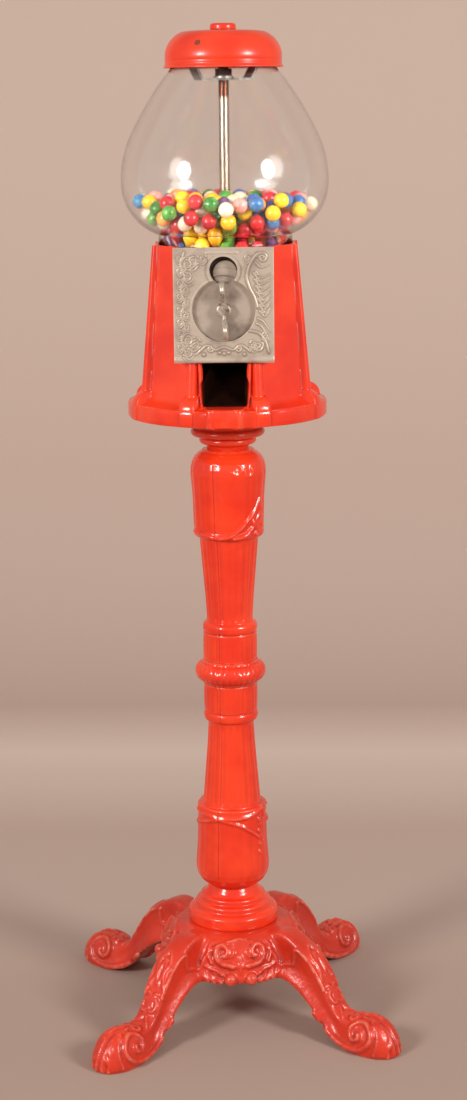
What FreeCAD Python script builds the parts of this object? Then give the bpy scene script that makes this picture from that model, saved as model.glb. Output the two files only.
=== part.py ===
"""Gumball machine on a cast iron pedestal, as an assembly of separate pieces.

Millimetres, +Z up, the floor at z = 0, the machine's axis on x = y = 0 and its front towards -Y.
"""
import FreeCAD, Part
import itertools
import math
import os
import random

import Sketcher
from FreeCAD import Rotation, Vector

doc = FreeCAD.newDocument("gumball_machine")
sheet = doc.addObject("Spreadsheet::Sheet", "sizes")

# The driving dimensions: alias, value and what it measures.
SIZES = [
    # pedestal
    ("stand_turn", 6.8, "degrees that the legs are turned about Z from the machine's diagonals"),
    ("leg_reach", 198, "axis to the tip of a toe"),
    ("leg_half_top", 12.5, "half width of a leg's upper face"),
    ("leg_half_side", 18, "half width of a leg at its lower edge"),
    ("ankle_radius", 132, "axis to the lowest point behind the foot scroll"),
    ("ankle_height", 38, "floor to the leg's upper face at the ankle"),
    ("foot_height", 40, "floor to the top of a foot scroll"),
    ("foot_half_width", 19, "half width of a foot scroll"),
    ("hub_height", 92, "floor to the seat of the plinth"),
    ("hub_radius", 50, "flat seat on top of the leg casting"),
    ("hub_deck", 12, "thickness of that seat"),
    ("leg_swell", 5, "how far a leg swells up past the seat"),
    ("swell_radius", 68, "axis to the highest point of that swell"),
    ("apron_radius", 74, "lower edge of the apron between the legs"),
    ("apron_bottom", 50.5, "floor to the lower edge of the apron"),
    ("apron_wall", 8, "thickness of the apron"),
    ("plinth_radius", 43, "lowest step of the plinth"),
    ("plinth_step", 13, "height of the lowest step"),
    ("plinth_height", 36, "whole plinth"),
    ("plinth_neck", 23, "radius of its neck"),
    ("column_length", 202, "one half of the column"),
    ("drum_radius", 25.7, "drum next to the collar"),
    ("drum_length", 26, "that drum"),
    ("bead_thickness", 3, "section radius of the bead past the drum"),
    ("waist_radius", 22, "thin end of the taper"),
    ("taper_radius", 28.4, "thick end of the taper"),
    ("taper_end", 122, "collar to the thick end of the taper"),
    ("vase_radius", 36.3, "widest part of the vase"),
    ("vase_step", 9, "length of the step from the taper out to the vase"),
    ("vase_shoulder", 14, "length of the rounded end of the vase"),
    ("column_facets", 16, "flat facets round the column"),
    ("column_bore", 14, "radius of the core left hollow round the tie rod"),
    ("collar_radius", 33.9, "ring between the two columns"),
    ("collar_height", 23, "that ring"),
    ("cap_radius", 46, "plate under the machine"),
    ("cap_height", 33, "whole cap"),
    ("cap_neck", 20, "radius of its neck"),
    ("tie_rod_radius", 5, "rod that pulls the pedestal together"),
    ("tie_nut_across", 17, "across flats"),
    ("tie_nut_height", 8, "one nut"),
    ("tie_washer_radius", 14, "washers on the tie rod"),
    ("washer_thickness", 2, "those washers"),
    # machine body
    ("body_height", 157.5, "underside of the flange to the upper rim"),
    ("body_top_flat", 67.5, "axis to a side of the octagon at the rim"),
    ("body_foot_flat", 78.4, "axis to a side of the octagon above the flange"),
    ("body_foot", 30.3, "underside to where the octagon starts"),
    ("body_wall", 4, "casting thickness"),
    ("flange_radius", 92, "round flange"),
    ("flange_height", 14, "its upright edge"),
    ("pad_width", 17, "pads on the flange below each rib"),
    ("rib_width", 7, "rib on each corner of the octagon"),
    ("rib_depth", 2, "how far a rib stands out"),
    ("boss_width", 88, "box on the front that carries the coin plate"),
    ("boss_wall", 2.5, "its walls"),
    ("boss_front", 75.5, "axis to its front face"),
    ("boss_face", 3, "thickness of its front wall"),
    ("boss_lip", 3, "how far that front wall reaches inwards"),
    ("chute_width", 40, "opening at the front"),
    ("chute_sill", 17.5, "underside of the machine to the opening's sill"),
    ("spout_width", 32, "lip below the opening"),
    ("spout_reach", 99, "axis to the front of that lip"),
    ("base_radius", 80, "plate that closes the body from below"),
    ("base_ledge", 8, "ledge in the body that this plate seats on"),
    ("base_thickness", 3, "that plate"),
    ("base_screw_radius", 2, "its screws"),
    ("base_screw_circle", 76.3, "pitch radius of those screws"),
    # coin mechanism
    ("plate_width", 89, "face plate"),
    ("plate_height", 101.6, "face plate"),
    ("plate_thickness", 3.5, "face plate"),
    ("plate_foot", 57.1, "underside of the machine to the lower edge of the plate"),
    ("axle_height", 103.5, "underside of the machine to the axle of the handle"),
    ("window_radius", 28, "round window in the plate that shows the coin wheel"),
    ("coin_rise", 35, "axle to the middle of the coin hole"),
    ("coin_hole_radius", 12.4, "coin hole"),
    ("coin_bevel", 2.6, "width of the raised rim round the coin hole"),
    ("coin_bevel_height", 1.5, "height of that rim"),
    ("coin_wheel_radius", 37, "wheel that carries the coin round"),
    ("coin_wheel_thickness", 4, "that wheel"),
    ("handle_hub_radius", 7.6, "hub of the turning handle"),
    ("handle_hub_length", 9, "that hub"),
    ("wing_reach", 26, "axle to the end of a wing"),
    ("wing_thickness", 5.4, "one wing"),
    ("wing_height", 15, "how far a wing stands out from the wheel"),
    ("handle_lean", 4, "degrees that the handle leans at rest"),
    ("back_plate", 2.5, "back plate of the mechanism"),
    ("axle_radius", 3.5, "axle"),
    ("axle_shoulder", 5, "shoulder on the axle"),
    ("bush_radius", 6, "axle bush"),
    ("bush_length", 6, "axle bush"),
    ("plate_screw_radius", 1.5, "screws that clamp plate and back plate"),
    ("plate_screw_inset", 4.7, "their distance from the sides of the back plate"),
    ("pawl_thickness", 3, "coin pawl"),
    ("pawl_pivot_x", 30, "pivot of the pawl from the axle"),
    ("pawl_pivot_rise", 42.5, "pivot of the pawl above the axle"),
    ("pawl_pin_radius", 1.5, "its pin"),
    ("pawl_boss", 3.4, "radius of the pawl round its pin"),
    ("pawl_nose_x", 20.5, "nose of the pawl from the axle"),
    ("spring_sheet", 0.5, "leaf spring behind the pawl"),
    # dispensing wheel
    ("gear_module", 2, "pinion and crown gear"),
    ("pinion_teeth", 16, "pinion on the axle"),
    ("crown_teeth", 48, "crown under the gum wheel"),
    ("tooth_share", 0.37, "tooth thickness as a share of the pitch"),
    ("gear_face", 5, "width of the pinion"),
    ("wheel_radius", 53, "gum wheel"),
    ("wheel_thickness", 14, "gum wheel"),
    ("pocket_count", 6, "pockets in the gum wheel"),
    ("pocket_circle", 33, "pitch radius of the pockets"),
    ("pocket_radius", 8.5, "one pocket"),
    ("hub_journal", 8, "post that the gum wheel turns on"),
    ("hopper_radius", 63.2, "outside of the hopper ring"),
    ("hopper_wall", 9, "wall of that ring"),
    ("hopper_floor", 4, "plate under the gum wheel"),
    ("hopper_arm", 5.5, "height of the arms that carry the floor"),
    ("arm_width", 12, "one arm"),
    ("drop_radius", 9, "drop hole in the floor"),
    ("drop_angle", 45, "its direction from +X in degrees"),
    ("lug_width", 16, "lugs in the body that carry the hopper"),
    ("lug_height", 12, "lugs"),
    ("guard_thickness", 1.5, "guard plate over the drop hole"),
    ("guard_spread", 38, "half angle of the guard in degrees"),
    ("chute_sheet", 1.2, "sheet of the chute"),
    ("chute_side", 21, "height of its sides"),
    # globe and lid
    ("rod_radius", 4.7, "centre rod"),
    ("nut_across", 13, "nuts on the centre rod"),
    ("nut_height", 6.5, "one such nut"),
    ("neck_radius", 61.2, "neck of the glass in the body"),
    ("neck_depth", 9, "how far the glass goes down into the body"),
    ("neck_rise", 8, "rim of the body to the foot of the globe"),
    ("globe_radius", 94.6, "widest part of the glass"),
    ("globe_middle", 55.5, "rim of the body to the widest part"),
    ("globe_shoulder", 84.5, "radius where the upper wall straightens"),
    ("globe_shoulder_rise", 43, "widest part to that shoulder"),
    ("globe_slope", 280, "radius of the upper wall between shoulder and mouth"),
    ("mouth_radius", 46, "upper neck of the glass"),
    ("mouth_foot", 158, "rim of the body to the foot of the upper neck"),
    ("mouth_height", 15, "upper neck"),
    ("glass_wall", 3, "glass"),
    ("gasket_thickness", 1.5, "ring under the glass"),
    ("bar_flat", 25, "half length of the flat part of the clamp bar"),
    ("bar_drop", 28.5, "mouth of the glass down to the underside of that flat part"),
    ("bar_width", 16, "clamp bar"),
    ("bar_thickness", 2, "clamp bar"),
    ("bar_turn", 28, "degrees that the bar is turned about Z"),
    ("lid_radius", 52.8, "side of the lid"),
    ("lid_lip", 1, "flare at its lower edge"),
    ("lid_foot", 156, "rim of the body to the lower edge of the lid"),
    ("lid_height", 33, "lower edge to the crown"),
    ("lid_side", 11, "upright side"),
    ("lid_crown", 37, "radius of the flat crown"),
    ("lid_round", 24, "radius of the round between side and crown"),
    ("lid_sheet", 1.2, "sheet of the lid"),
    ("knob_radius", 11.8, "knob on the lid"),
    ("knob_height", 5.5, "knob on the lid"),
    # gumballs
    ("ball_diameter", 14, "one gumball"),
    ("ball_count", 320, "gumballs in the globe"),
    ("pile_top", 35.5, "rim of the body to the middles of the uppermost gumballs"),
    ("pile_ripple", 5, "how far single gumballs stand out of the pile"),
    # fits
    ("running_gap", 0.05, "shaft in a bore"),
    ("seat_gap", 0.3, "pieces that move past each other"),
    ("assembly_gap", 0.4, "pieces that drop into a pocket"),
]


class Size:
    """A length together with the sheet expression that gives it."""

    def __init__(self, value, text):
        self.value = float(value)
        self.text = text

    def __add__(self, other):
        other = as_size(other)
        return Size(self.value + other.value, f"({self.text} + {other.text})")

    def __sub__(self, other):
        other = as_size(other)
        return Size(self.value - other.value, f"({self.text} - {other.text})")

    def __mul__(self, other):
        other = as_size(other)
        return Size(self.value * other.value, f"({self.text} * {other.text})")

    def __truediv__(self, other):
        other = as_size(other)
        return Size(self.value / other.value, f"({self.text} / {other.text})")

    def __neg__(self):
        return Size(-self.value, f"(0 - {self.text})")

    def __rsub__(self, other):
        return as_size(other) - self

    __radd__ = __add__
    __rmul__ = __mul__


def as_size(number):
    if isinstance(number, Size):
        return number
    return Size(number, f"({float(number):.6f})")


def fill_sheet():
    """Write the driving dimensions into the sheet, one row each."""
    for row, (alias, value, note) in enumerate(SIZES, start=1):
        sheet.set(f"A{row}", note)
        sheet.set(f"B{row}", str(value))
        sheet.setAlias(f"B{row}", alias)
    doc.recompute()
    return {alias: Size(sheet.get(alias), f"sizes.{alias}") for alias, _, _ in SIZES}


S = fill_sheet()
nodes = []


def node(obj, label):
    """Name a finished piece; its label names its file."""
    obj.Label = label
    nodes.append(obj)
    return obj


def bind(obj, **properties):
    """Tie properties of an object to sheet expressions."""
    for name, size in properties.items():
        obj.setExpression(name.replace("__", "."), as_size(size).text)
    return obj


def place(obj, x=0, y=0, z=0):
    return bind(obj, Placement__Base__x=x, Placement__Base__y=y, Placement__Base__z=z)


def box(name, length, width, height, x=0, y=0, z=0):
    """A block with its lowest corner at x, y, z."""
    obj = doc.addObject("Part::Box", name)
    bind(obj, Length=length, Width=width, Height=height)
    return place(obj, x, y, z)


def centred_box(name, length, width, height, x=0, y=0, z=0):
    """A block centred on x and y that stands on z."""
    return box(name, length, width, height, x - as_size(length) / 2, y - as_size(width) / 2, z)


def cylinder(name, radius, height, x=0, y=0, z=0, along="Z"):
    """A cylinder that starts at x, y, z and runs along +Z or +Y."""
    obj = doc.addObject("Part::Cylinder", name)
    if along == "Y":
        obj.Placement.Rotation = Rotation(Vector(1, 0, 0), -90)
    bind(obj, Radius=radius, Height=height)
    return place(obj, x, y, z)


def hexagon(name, across, height, x=0, y=0, z=0, along="Z"):
    """A hexagonal prism by its distance across flats."""
    obj = doc.addObject("Part::Prism", name)
    obj.Polygon = 6
    if along == "Y":
        obj.Placement.Rotation = Rotation(Vector(1, 0, 0), -90)
    bind(obj, Circumradius=as_size(across) / math.sqrt(3), Height=height)
    return place(obj, x, y, z)


def fuse(name, *pieces):
    obj = doc.addObject("Part::MultiFuse", name)
    obj.Shapes = list(pieces)
    obj.Refine = True
    return obj


def cut(name, base, *tools):
    """The base less every tool."""
    obj = doc.addObject("Part::Cut", name)
    obj.Base = base
    obj.Tool = tools[0] if len(tools) == 1 else fuse(name + "_tools", *tools)
    obj.Refine = True
    return obj


def group(name, *pieces):
    obj = doc.addObject("Part::Compound", name)
    obj.Links = list(pieces)
    return obj


def feature(name, shape):
    obj = doc.addObject("Part::Feature", name)
    obj.Shape = shape
    return obj


def polygon_loft(name, sides, sections, turn=0):
    """A ruled loft through regular polygons, each a circumradius at a height."""
    rings = []
    for number, (radius, height) in enumerate(sections):
        ring = doc.addObject("Part::RegularPolygon", f"{name}_ring{number}")
        ring.Placement.Rotation = Rotation(Vector(0, 0, 1), turn)
        bind(ring, Polygon=sides, Circumradius=radius)
        rings.append(place(ring, z=height))
    loft = doc.addObject("Part::Loft", name)
    loft.Sections = rings
    loft.Solid = True
    loft.Ruled = True
    return loft


def origin_plane(body, role):
    return next(item for item in body.Origin.OriginFeatures if item.Role == role)


def arc_through(start, end, radius):
    """The minor arc from start to end; a positive radius turns left, a negative one right."""
    middle = (start + end) * 0.5
    chord = end - start
    left = Vector(-chord.y, chord.x, 0).normalize()
    turn = math.copysign(1, radius)
    depth = math.sqrt(max(radius * radius - chord.Length ** 2 / 4, 0))
    centre = middle + left * (turn * depth)
    crest = centre - left * (turn * abs(radius))
    return Part.Arc(start, crest, end)


def turned(name, corners):
    """A body of revolution about Z.

    Each corner is (radius, height), or (radius, height, arc radius) where a round stretch leads to it.
    """
    body = doc.addObject("PartDesign::Body", name)
    sketch = body.newObject("Sketcher::SketchObject", name + "_outline")
    sketch.AttachmentSupport = (origin_plane(body, "XZ_Plane"), [""])
    sketch.MapMode = "FlatFace"
    corners = [tuple(as_size(value) for value in corner) for corner in corners]
    ends = []
    for index, corner in enumerate(corners):
        before = corners[index - 1]
        start = Vector(before[0].value, before[1].value, 0)
        end = Vector(corner[0].value, corner[1].value, 0)
        if len(corner) == 2:
            edge = sketch.addGeometry(Part.LineSegment(start, end))
            ends.append((edge, 1, 2))
        else:
            edge = sketch.addGeometry(arc_through(start, end, corner[2].value))
            order = (1, 2) if corner[2].value > 0 else (2, 1)
            ends.append((edge, *order))
    for index, (edge, first, last) in enumerate(ends):
        following = ends[(index + 1) % len(ends)]
        sketch.addConstraint(Sketcher.Constraint("Coincident", edge, last, following[0], following[1]))
    for (edge, first, last), corner in zip(ends, corners):
        across = sketch.addConstraint(Sketcher.Constraint("DistanceX", -1, 1, edge, last, corner[0].value))
        up = sketch.addConstraint(Sketcher.Constraint("DistanceY", -1, 1, edge, last, corner[1].value))
        sketch.setExpression(f"Constraints[{across}]", corner[0].text)
        sketch.setExpression(f"Constraints[{up}]", corner[1].text)
        if len(corner) == 3:
            bend = sketch.addConstraint(Sketcher.Constraint("Radius", edge, abs(corner[2].value)))
            text = corner[2].text if corner[2].value > 0 else f"(0 - {corner[2].text})"
            sketch.setExpression(f"Constraints[{bend}]", text)
    spin = body.newObject("PartDesign::Revolution", name + "_turned")
    spin.Profile = sketch
    spin.ReferenceAxis = (sketch, ["V_Axis"])
    spin.Angle = 360
    sketch.Visibility = False
    return body


def ring(name, inner, outer, height, z):
    """A flat washer or sleeve about Z."""
    return turned(name, [(inner, z), (outer, z), (outer, z + height), (inner, z + height)])


# Levels, from the floor up.
plinth_z = S["hub_height"]
lower_z = plinth_z + S["plinth_height"]
collar_z = lower_z + S["column_length"]
upper_z = collar_z + S["collar_height"]
cap_z = upper_z + S["column_length"]
base_z = cap_z + S["cap_height"]
rim_z = base_z + S["body_height"]
axle_z = base_z + S["axle_height"]
plate_z = base_z + S["plate_foot"]
sill_z = base_z + S["chute_sill"]
coin_z = axle_z + S["coin_rise"]

# Gear levels: the pinion meets the crown one pitch radius above the axle.
pinion_radius = S["gear_module"] * S["pinion_teeth"] / 2
crown_radius = S["gear_module"] * S["crown_teeth"] / 2
addendum = S["gear_module"] * 0.8
dedendum = S["gear_module"]
wheel_z = axle_z + pinion_radius + dedendum
wheel_top = wheel_z + S["wheel_thickness"]
floor_top = wheel_z - S["seat_gap"]
floor_z = floor_top - S["hopper_floor"]
hopper_z = floor_z - S["hopper_arm"]
hopper_top = rim_z - S["neck_depth"] - S["gasket_thickness"]
guard_z = wheel_top + S["seat_gap"] + 0.2
guard_nut_z = guard_z + S["guard_thickness"]

# Planes of the coin mechanism, from the front back; the front is -Y.
plate_back = -S["boss_front"]
plate_front = plate_back - S["plate_thickness"]
wheel_front = plate_back + S["seat_gap"]
wheel_back = wheel_front + S["coin_wheel_thickness"]
tray_front = plate_back + S["boss_face"]
tray_floor = wheel_back + S["seat_gap"]
tray_back = tray_floor + S["back_plate"]
pinion_back = S["gear_face"] / 2 - crown_radius
pinion_front = -S["gear_face"] / 2 - crown_radius

# Levels of the glass and the lid.
glass_z = rim_z - S["neck_depth"]
globe_foot_z = rim_z + S["neck_rise"]
globe_middle_z = rim_z + S["globe_middle"]
shoulder_z = globe_middle_z + S["globe_shoulder_rise"]
mouth_z = rim_z + S["mouth_foot"]
mouth_top = mouth_z + S["mouth_height"]
lid_z = rim_z + S["lid_foot"]
lid_top = lid_z + S["lid_height"]

OCTAGON = 8
CORNER_SHARE = 1 / math.cos(math.pi / OCTAGON)
CORNER_TURN = 180 / OCTAGON
LEG_COUNT = 4


def spoke_box(name, start, length, width, height, z, angle):
    """A block that runs outwards from radius start, turned about Z by angle degrees."""
    c, s = math.cos(math.radians(angle)), math.sin(math.radians(angle))
    obj = box(name, length, width, height)
    obj.Placement.Rotation = Rotation(Vector(0, 0, 1), angle)
    half = as_size(width) / 2
    return place(obj, start * c + half * s, start * s - half * c, z)


def ring_of(name, count, make, first=0):
    """Copies of a piece round Z; make gets a name and an angle in degrees."""
    return [make(f"{name}{number}", first + 360 * number / count) for number in range(count)]


def on_circle(radius, angle):
    return radius * math.cos(math.radians(angle)), radius * math.sin(math.radians(angle))


# Pedestal

def leg_top(radius):
    """Height of a leg's upper face: an S from the hub to the ankle, then the foot scroll."""
    hub, ankle = S["hub_radius"].value - 6, S["ankle_radius"].value
    low, high = S["ankle_height"].value, S["hub_height"].value - 0.5
    if radius <= ankle:
        share = max(radius - hub, 0) / (ankle - hub)
        swell = S["leg_swell"].value * math.exp(-((radius - S["swell_radius"].value) / 14) ** 2)
        return low + (high - low) * 0.5 * (1 + math.cos(math.pi * share ** 2.4)) + swell
    crest = ankle + (S["leg_reach"].value - ankle) / 2
    if radius <= crest:
        share = (radius - ankle) / (crest - ankle)
        return low + (S["foot_height"].value - low) * 0.5 * (1 - math.cos(math.pi * share))
    share = (radius - crest) / (S["leg_reach"].value - crest)
    return S["foot_height"].value * math.sqrt(max(1 - 0.97 * share * share, 0.01))


def leg_bottom(radius):
    """Height of a leg's lower edge: from the apron down to the sole, which dips below the floor."""
    start, end = S["apron_radius"].value - 4, S["ankle_radius"].value + 20
    share = min(max((radius - start) / (end - start), 0), 1)
    return (S["apron_bottom"].value + 2) * 0.5 * (1 + math.cos(math.pi * share)) - 2


def leg_section(radius):
    """Closed outline of a leg at a radius, for a leg along +X; the foot is a dome with a round toe."""
    ankle, reach = S["ankle_radius"].value, S["leg_reach"].value
    crest = (ankle + reach) / 2
    share = min(max((radius - ankle + 8) / (crest - ankle + 8), 0), 1)
    bulge = math.sin(math.pi / 2 * share)
    past = max((radius - crest) / (reach - crest), 0)
    toe = math.sqrt(1 - 0.9 * past * past)
    half_top = S["leg_half_top"].value + (S["foot_half_width"].value - S["leg_half_top"].value) * bulge
    half_low = S["leg_half_side"].value + (S["foot_half_width"].value - S["leg_half_side"].value) * bulge
    half_top, half_low = half_top * toe, half_low * toe
    top, low = leg_top(radius), leg_bottom(radius)
    corners = [
        (half_low, low),
        (half_top * 1.02, low + 0.45 * (top - low)),
        (half_top * (1 - 0.14 * bulge), top - (0.18 + 0.08 * bulge) * (top - low)),
        (half_top * (0.62 - 0.18 * bulge), top),
    ]
    outline = [Vector(radius, y, z) for y, z in corners]
    outline += [Vector(radius, -y, z) for y, z in reversed(corners)]
    return Part.makePolygon(outline + outline[:1])


def make_leg_base():
    """One casting: four cabriole legs with scroll feet, the hub they meet in and the apron."""
    hub, ankle, reach = S["hub_radius"].value, S["ankle_radius"].value, S["leg_reach"].value
    stations = [hub - 12 + (ankle - hub + 12) * step / 6 for step in range(7)]
    stations += [ankle + (reach - ankle) * share for share in (0.2, 0.4, 0.6, 0.78, 0.91, 1.0)]
    leg = Part.makeLoft([leg_section(radius) for radius in stations], True, False)
    legs = []
    for number in range(LEG_COUNT):
        copy = leg.copy()
        angle = 45 + S["stand_turn"].value + 360 / LEG_COUNT * number
        copy.rotate(Vector(0, 0, 0), Vector(0, 0, 1), angle)
        legs.append(copy)
    high, deck, wall = S["hub_height"].value, S["hub_deck"].value, S["apron_wall"].value
    edge, bottom = S["apron_radius"].value, S["apron_bottom"].value
    bore = S["tie_rod_radius"].value + S["assembly_gap"].value
    outline = [
        Vector(bore, 0, high), Vector(hub, 0, high),
        Vector(hub + (edge - hub) * 0.5, 0, high - 0.2 * (high - bottom)), Vector(edge, 0, bottom),
        Vector(edge - wall, 0, bottom), Vector(hub - 2, 0, high - deck), Vector(bore, 0, high - deck),
    ]
    bell = Part.Face(Part.makePolygon(outline + outline[:1])).revolve(Vector(), Vector(0, 0, 1), 360)
    casting = bell.fuse(legs)
    below = Part.makeBox(4 * reach, 4 * reach, 50, Vector(-2 * reach, -2 * reach, -50))
    return node(feature("leg_base", casting.cut(below).removeSplitter()), "leg_base")


def make_plinth():
    """Stepped round foot of the column."""
    z, top = plinth_z, lower_z
    bore, neck, wide = S["column_bore"], S["plinth_neck"], S["plinth_radius"]
    step = S["plinth_step"]
    rest = (S["plinth_height"] - step) / 4
    span = (wide - neck) / 4
    return node(turned("plinth", [
        (bore, z), (wide - 1.5, z), (wide, z + step * 0.45, 9), (wide - 2.5, z + step, 9),
        (wide - span * 1.6, z + step), (wide - span * 1.6, z + step + rest),
        (wide - span * 2.7, z + step + rest), (wide - span * 2.7, z + step + rest * 2),
        (wide - span * 3.5, z + step + rest * 2), (wide - span * 3.5, z + step + rest * 3),
        (neck, z + step + rest * 3), (neck, top), (bore, top),
    ]), "plinth")


def make_column(label, collar_end, direction):
    """Half of the column, a faceted drum, taper and vase that grows away from the collar."""
    length, shoulder = S["column_length"], S["vase_shoulder"]
    taper_end, vase = S["taper_end"], S["vase_radius"]
    bead_at = S["drum_length"] + S["bead_thickness"] * 2
    sections = [
        (S["drum_radius"], as_size(0)),
        (S["drum_radius"], S["drum_length"]),
        (S["waist_radius"], bead_at),
        (S["waist_radius"], bead_at + S["bead_thickness"] * 2),
        (S["taper_radius"], taper_end),
        (vase - 2.2, taper_end + S["vase_step"]),
        (vase, length - shoulder * 1.6),
        (vase - 0.8, length - shoulder * 0.75),
        (vase * 0.88, length - shoulder * 0.25),
        (vase * 0.66, length),
    ]
    if direction < 0:
        sections.reverse()
    levels = [(radius, collar_end + along * direction) for radius, along in sections]
    shaft = polygon_loft(label + "_shaft", S["column_facets"], levels)
    bead = doc.addObject("Part::Torus", label + "_bead")
    bind(bead, Radius1=S["drum_radius"] - S["bead_thickness"] + 0.6, Radius2=S["bead_thickness"])
    place(bead, z=collar_end + bead_at * direction)
    low = collar_end if direction > 0 else collar_end - length
    bore = cylinder(label + "_bore", S["column_bore"], length, z=low)
    return node(cut(label + "_piece", fuse(label + "_solid", shaft, bead), bore), label)


def make_collar():
    z, high, wide = collar_z, S["collar_height"], S["collar_radius"]
    end = S["drum_radius"] + 0.8
    bow = ((wide - end) * (wide - end) + high * high * 0.1225) / ((wide - end) * 2)
    return node(turned("column_collar", [
        (S["column_bore"], z), (end - 1, z), (end, z + high * 0.15), (wide, z + high * 0.5, bow),
        (end, z + high * 0.85, bow), (end - 1, z + high), (S["column_bore"], z + high),
    ]), "column_collar")


def make_cap():
    """Stepped cap that carries the machine."""
    z, high, wide, neck = cap_z, S["cap_height"], S["cap_radius"], S["cap_neck"]
    step = (wide - neck) / 3
    return node(turned("stand_cap", [
        (S["column_bore"], z), (neck, z), (neck, z + high * 0.25), (neck + step, z + high * 0.25),
        (neck + step, z + high * 0.52), (neck + step * 1.9, z + high * 0.52),
        (neck + step * 1.9, z + high * 0.8), (wide, z + high * 0.8), (wide, z + high),
        (S["column_bore"], z + high),
    ]), "stand_cap")


def make_tie_rod():
    """Rod, nuts and washers that pull legs, column, cap and base plate together."""
    gap, radius = S["running_gap"], S["tie_rod_radius"]
    under, over = plinth_z - S["hub_deck"], base_z + S["base_thickness"]
    washer, nut = S["washer_thickness"], S["tie_nut_height"]
    low = under - washer - nut - 3
    node(cylinder("tie_rod", radius, over + washer + nut + 3 - low, z=low), "tie_rod")
    places = [("tie_washer_lower", under - washer), ("tie_washer_upper", over)]
    for label, z in places:
        node(ring(label, radius + gap, S["tie_washer_radius"], washer, z), label)
    for label, z in [("tie_nut_lower", under - washer - nut), ("tie_nut_upper", over + washer)]:
        blank = hexagon(label + "_blank", S["tie_nut_across"], nut, z=z)
        node(cut(label + "_piece", blank, cylinder(label + "_bore", radius + gap, nut, z=z)), label)


# Machine body

def octagon_wall(name, inset, low, high):
    """The body's octagonal taper, moved inwards by inset."""
    foot_level = base_z + S["body_foot"]
    foot = S["body_foot_flat"] - inset
    slope = (S["body_foot_flat"] - S["body_top_flat"]) / (S["body_height"] - S["body_foot"])
    lower = S["base_radius"] - S["base_ledge"] if inset.value else foot
    levels = [(lower * CORNER_SHARE, low), (foot * CORNER_SHARE, foot_level)]
    levels.append(((S["body_top_flat"] - inset - slope * (high - rim_z)) * CORNER_SHARE, high))
    return polygon_loft(name, OCTAGON, levels, CORNER_TURN)


def make_rib(name, angle):
    """Upright rib on a corner of the octagon, leaning with the wall."""
    foot = S["body_foot_flat"].value * CORNER_SHARE
    top = S["body_top_flat"].value * CORNER_SHARE
    half, depth = S["rib_width"].value / 2, S["rib_depth"].value
    wires = []
    for corner, level in ((foot, base_z.value + S["body_foot"].value), (top, rim_z.value)):
        inner, outer = corner - S["body_wall"].value * 0.8, corner + depth - 1
        points = [Vector(inner, -half, level), Vector(outer, -half * 0.75, level)]
        points += [Vector(outer, half * 0.75, level), Vector(inner, half, level)]
        wires.append(Part.makePolygon(points + points[:1]))
    shape = Part.makeLoft(wires, True, True)
    shape.rotate(Vector(), Vector(0, 0, 1), angle)
    return feature(name, shape)


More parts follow.
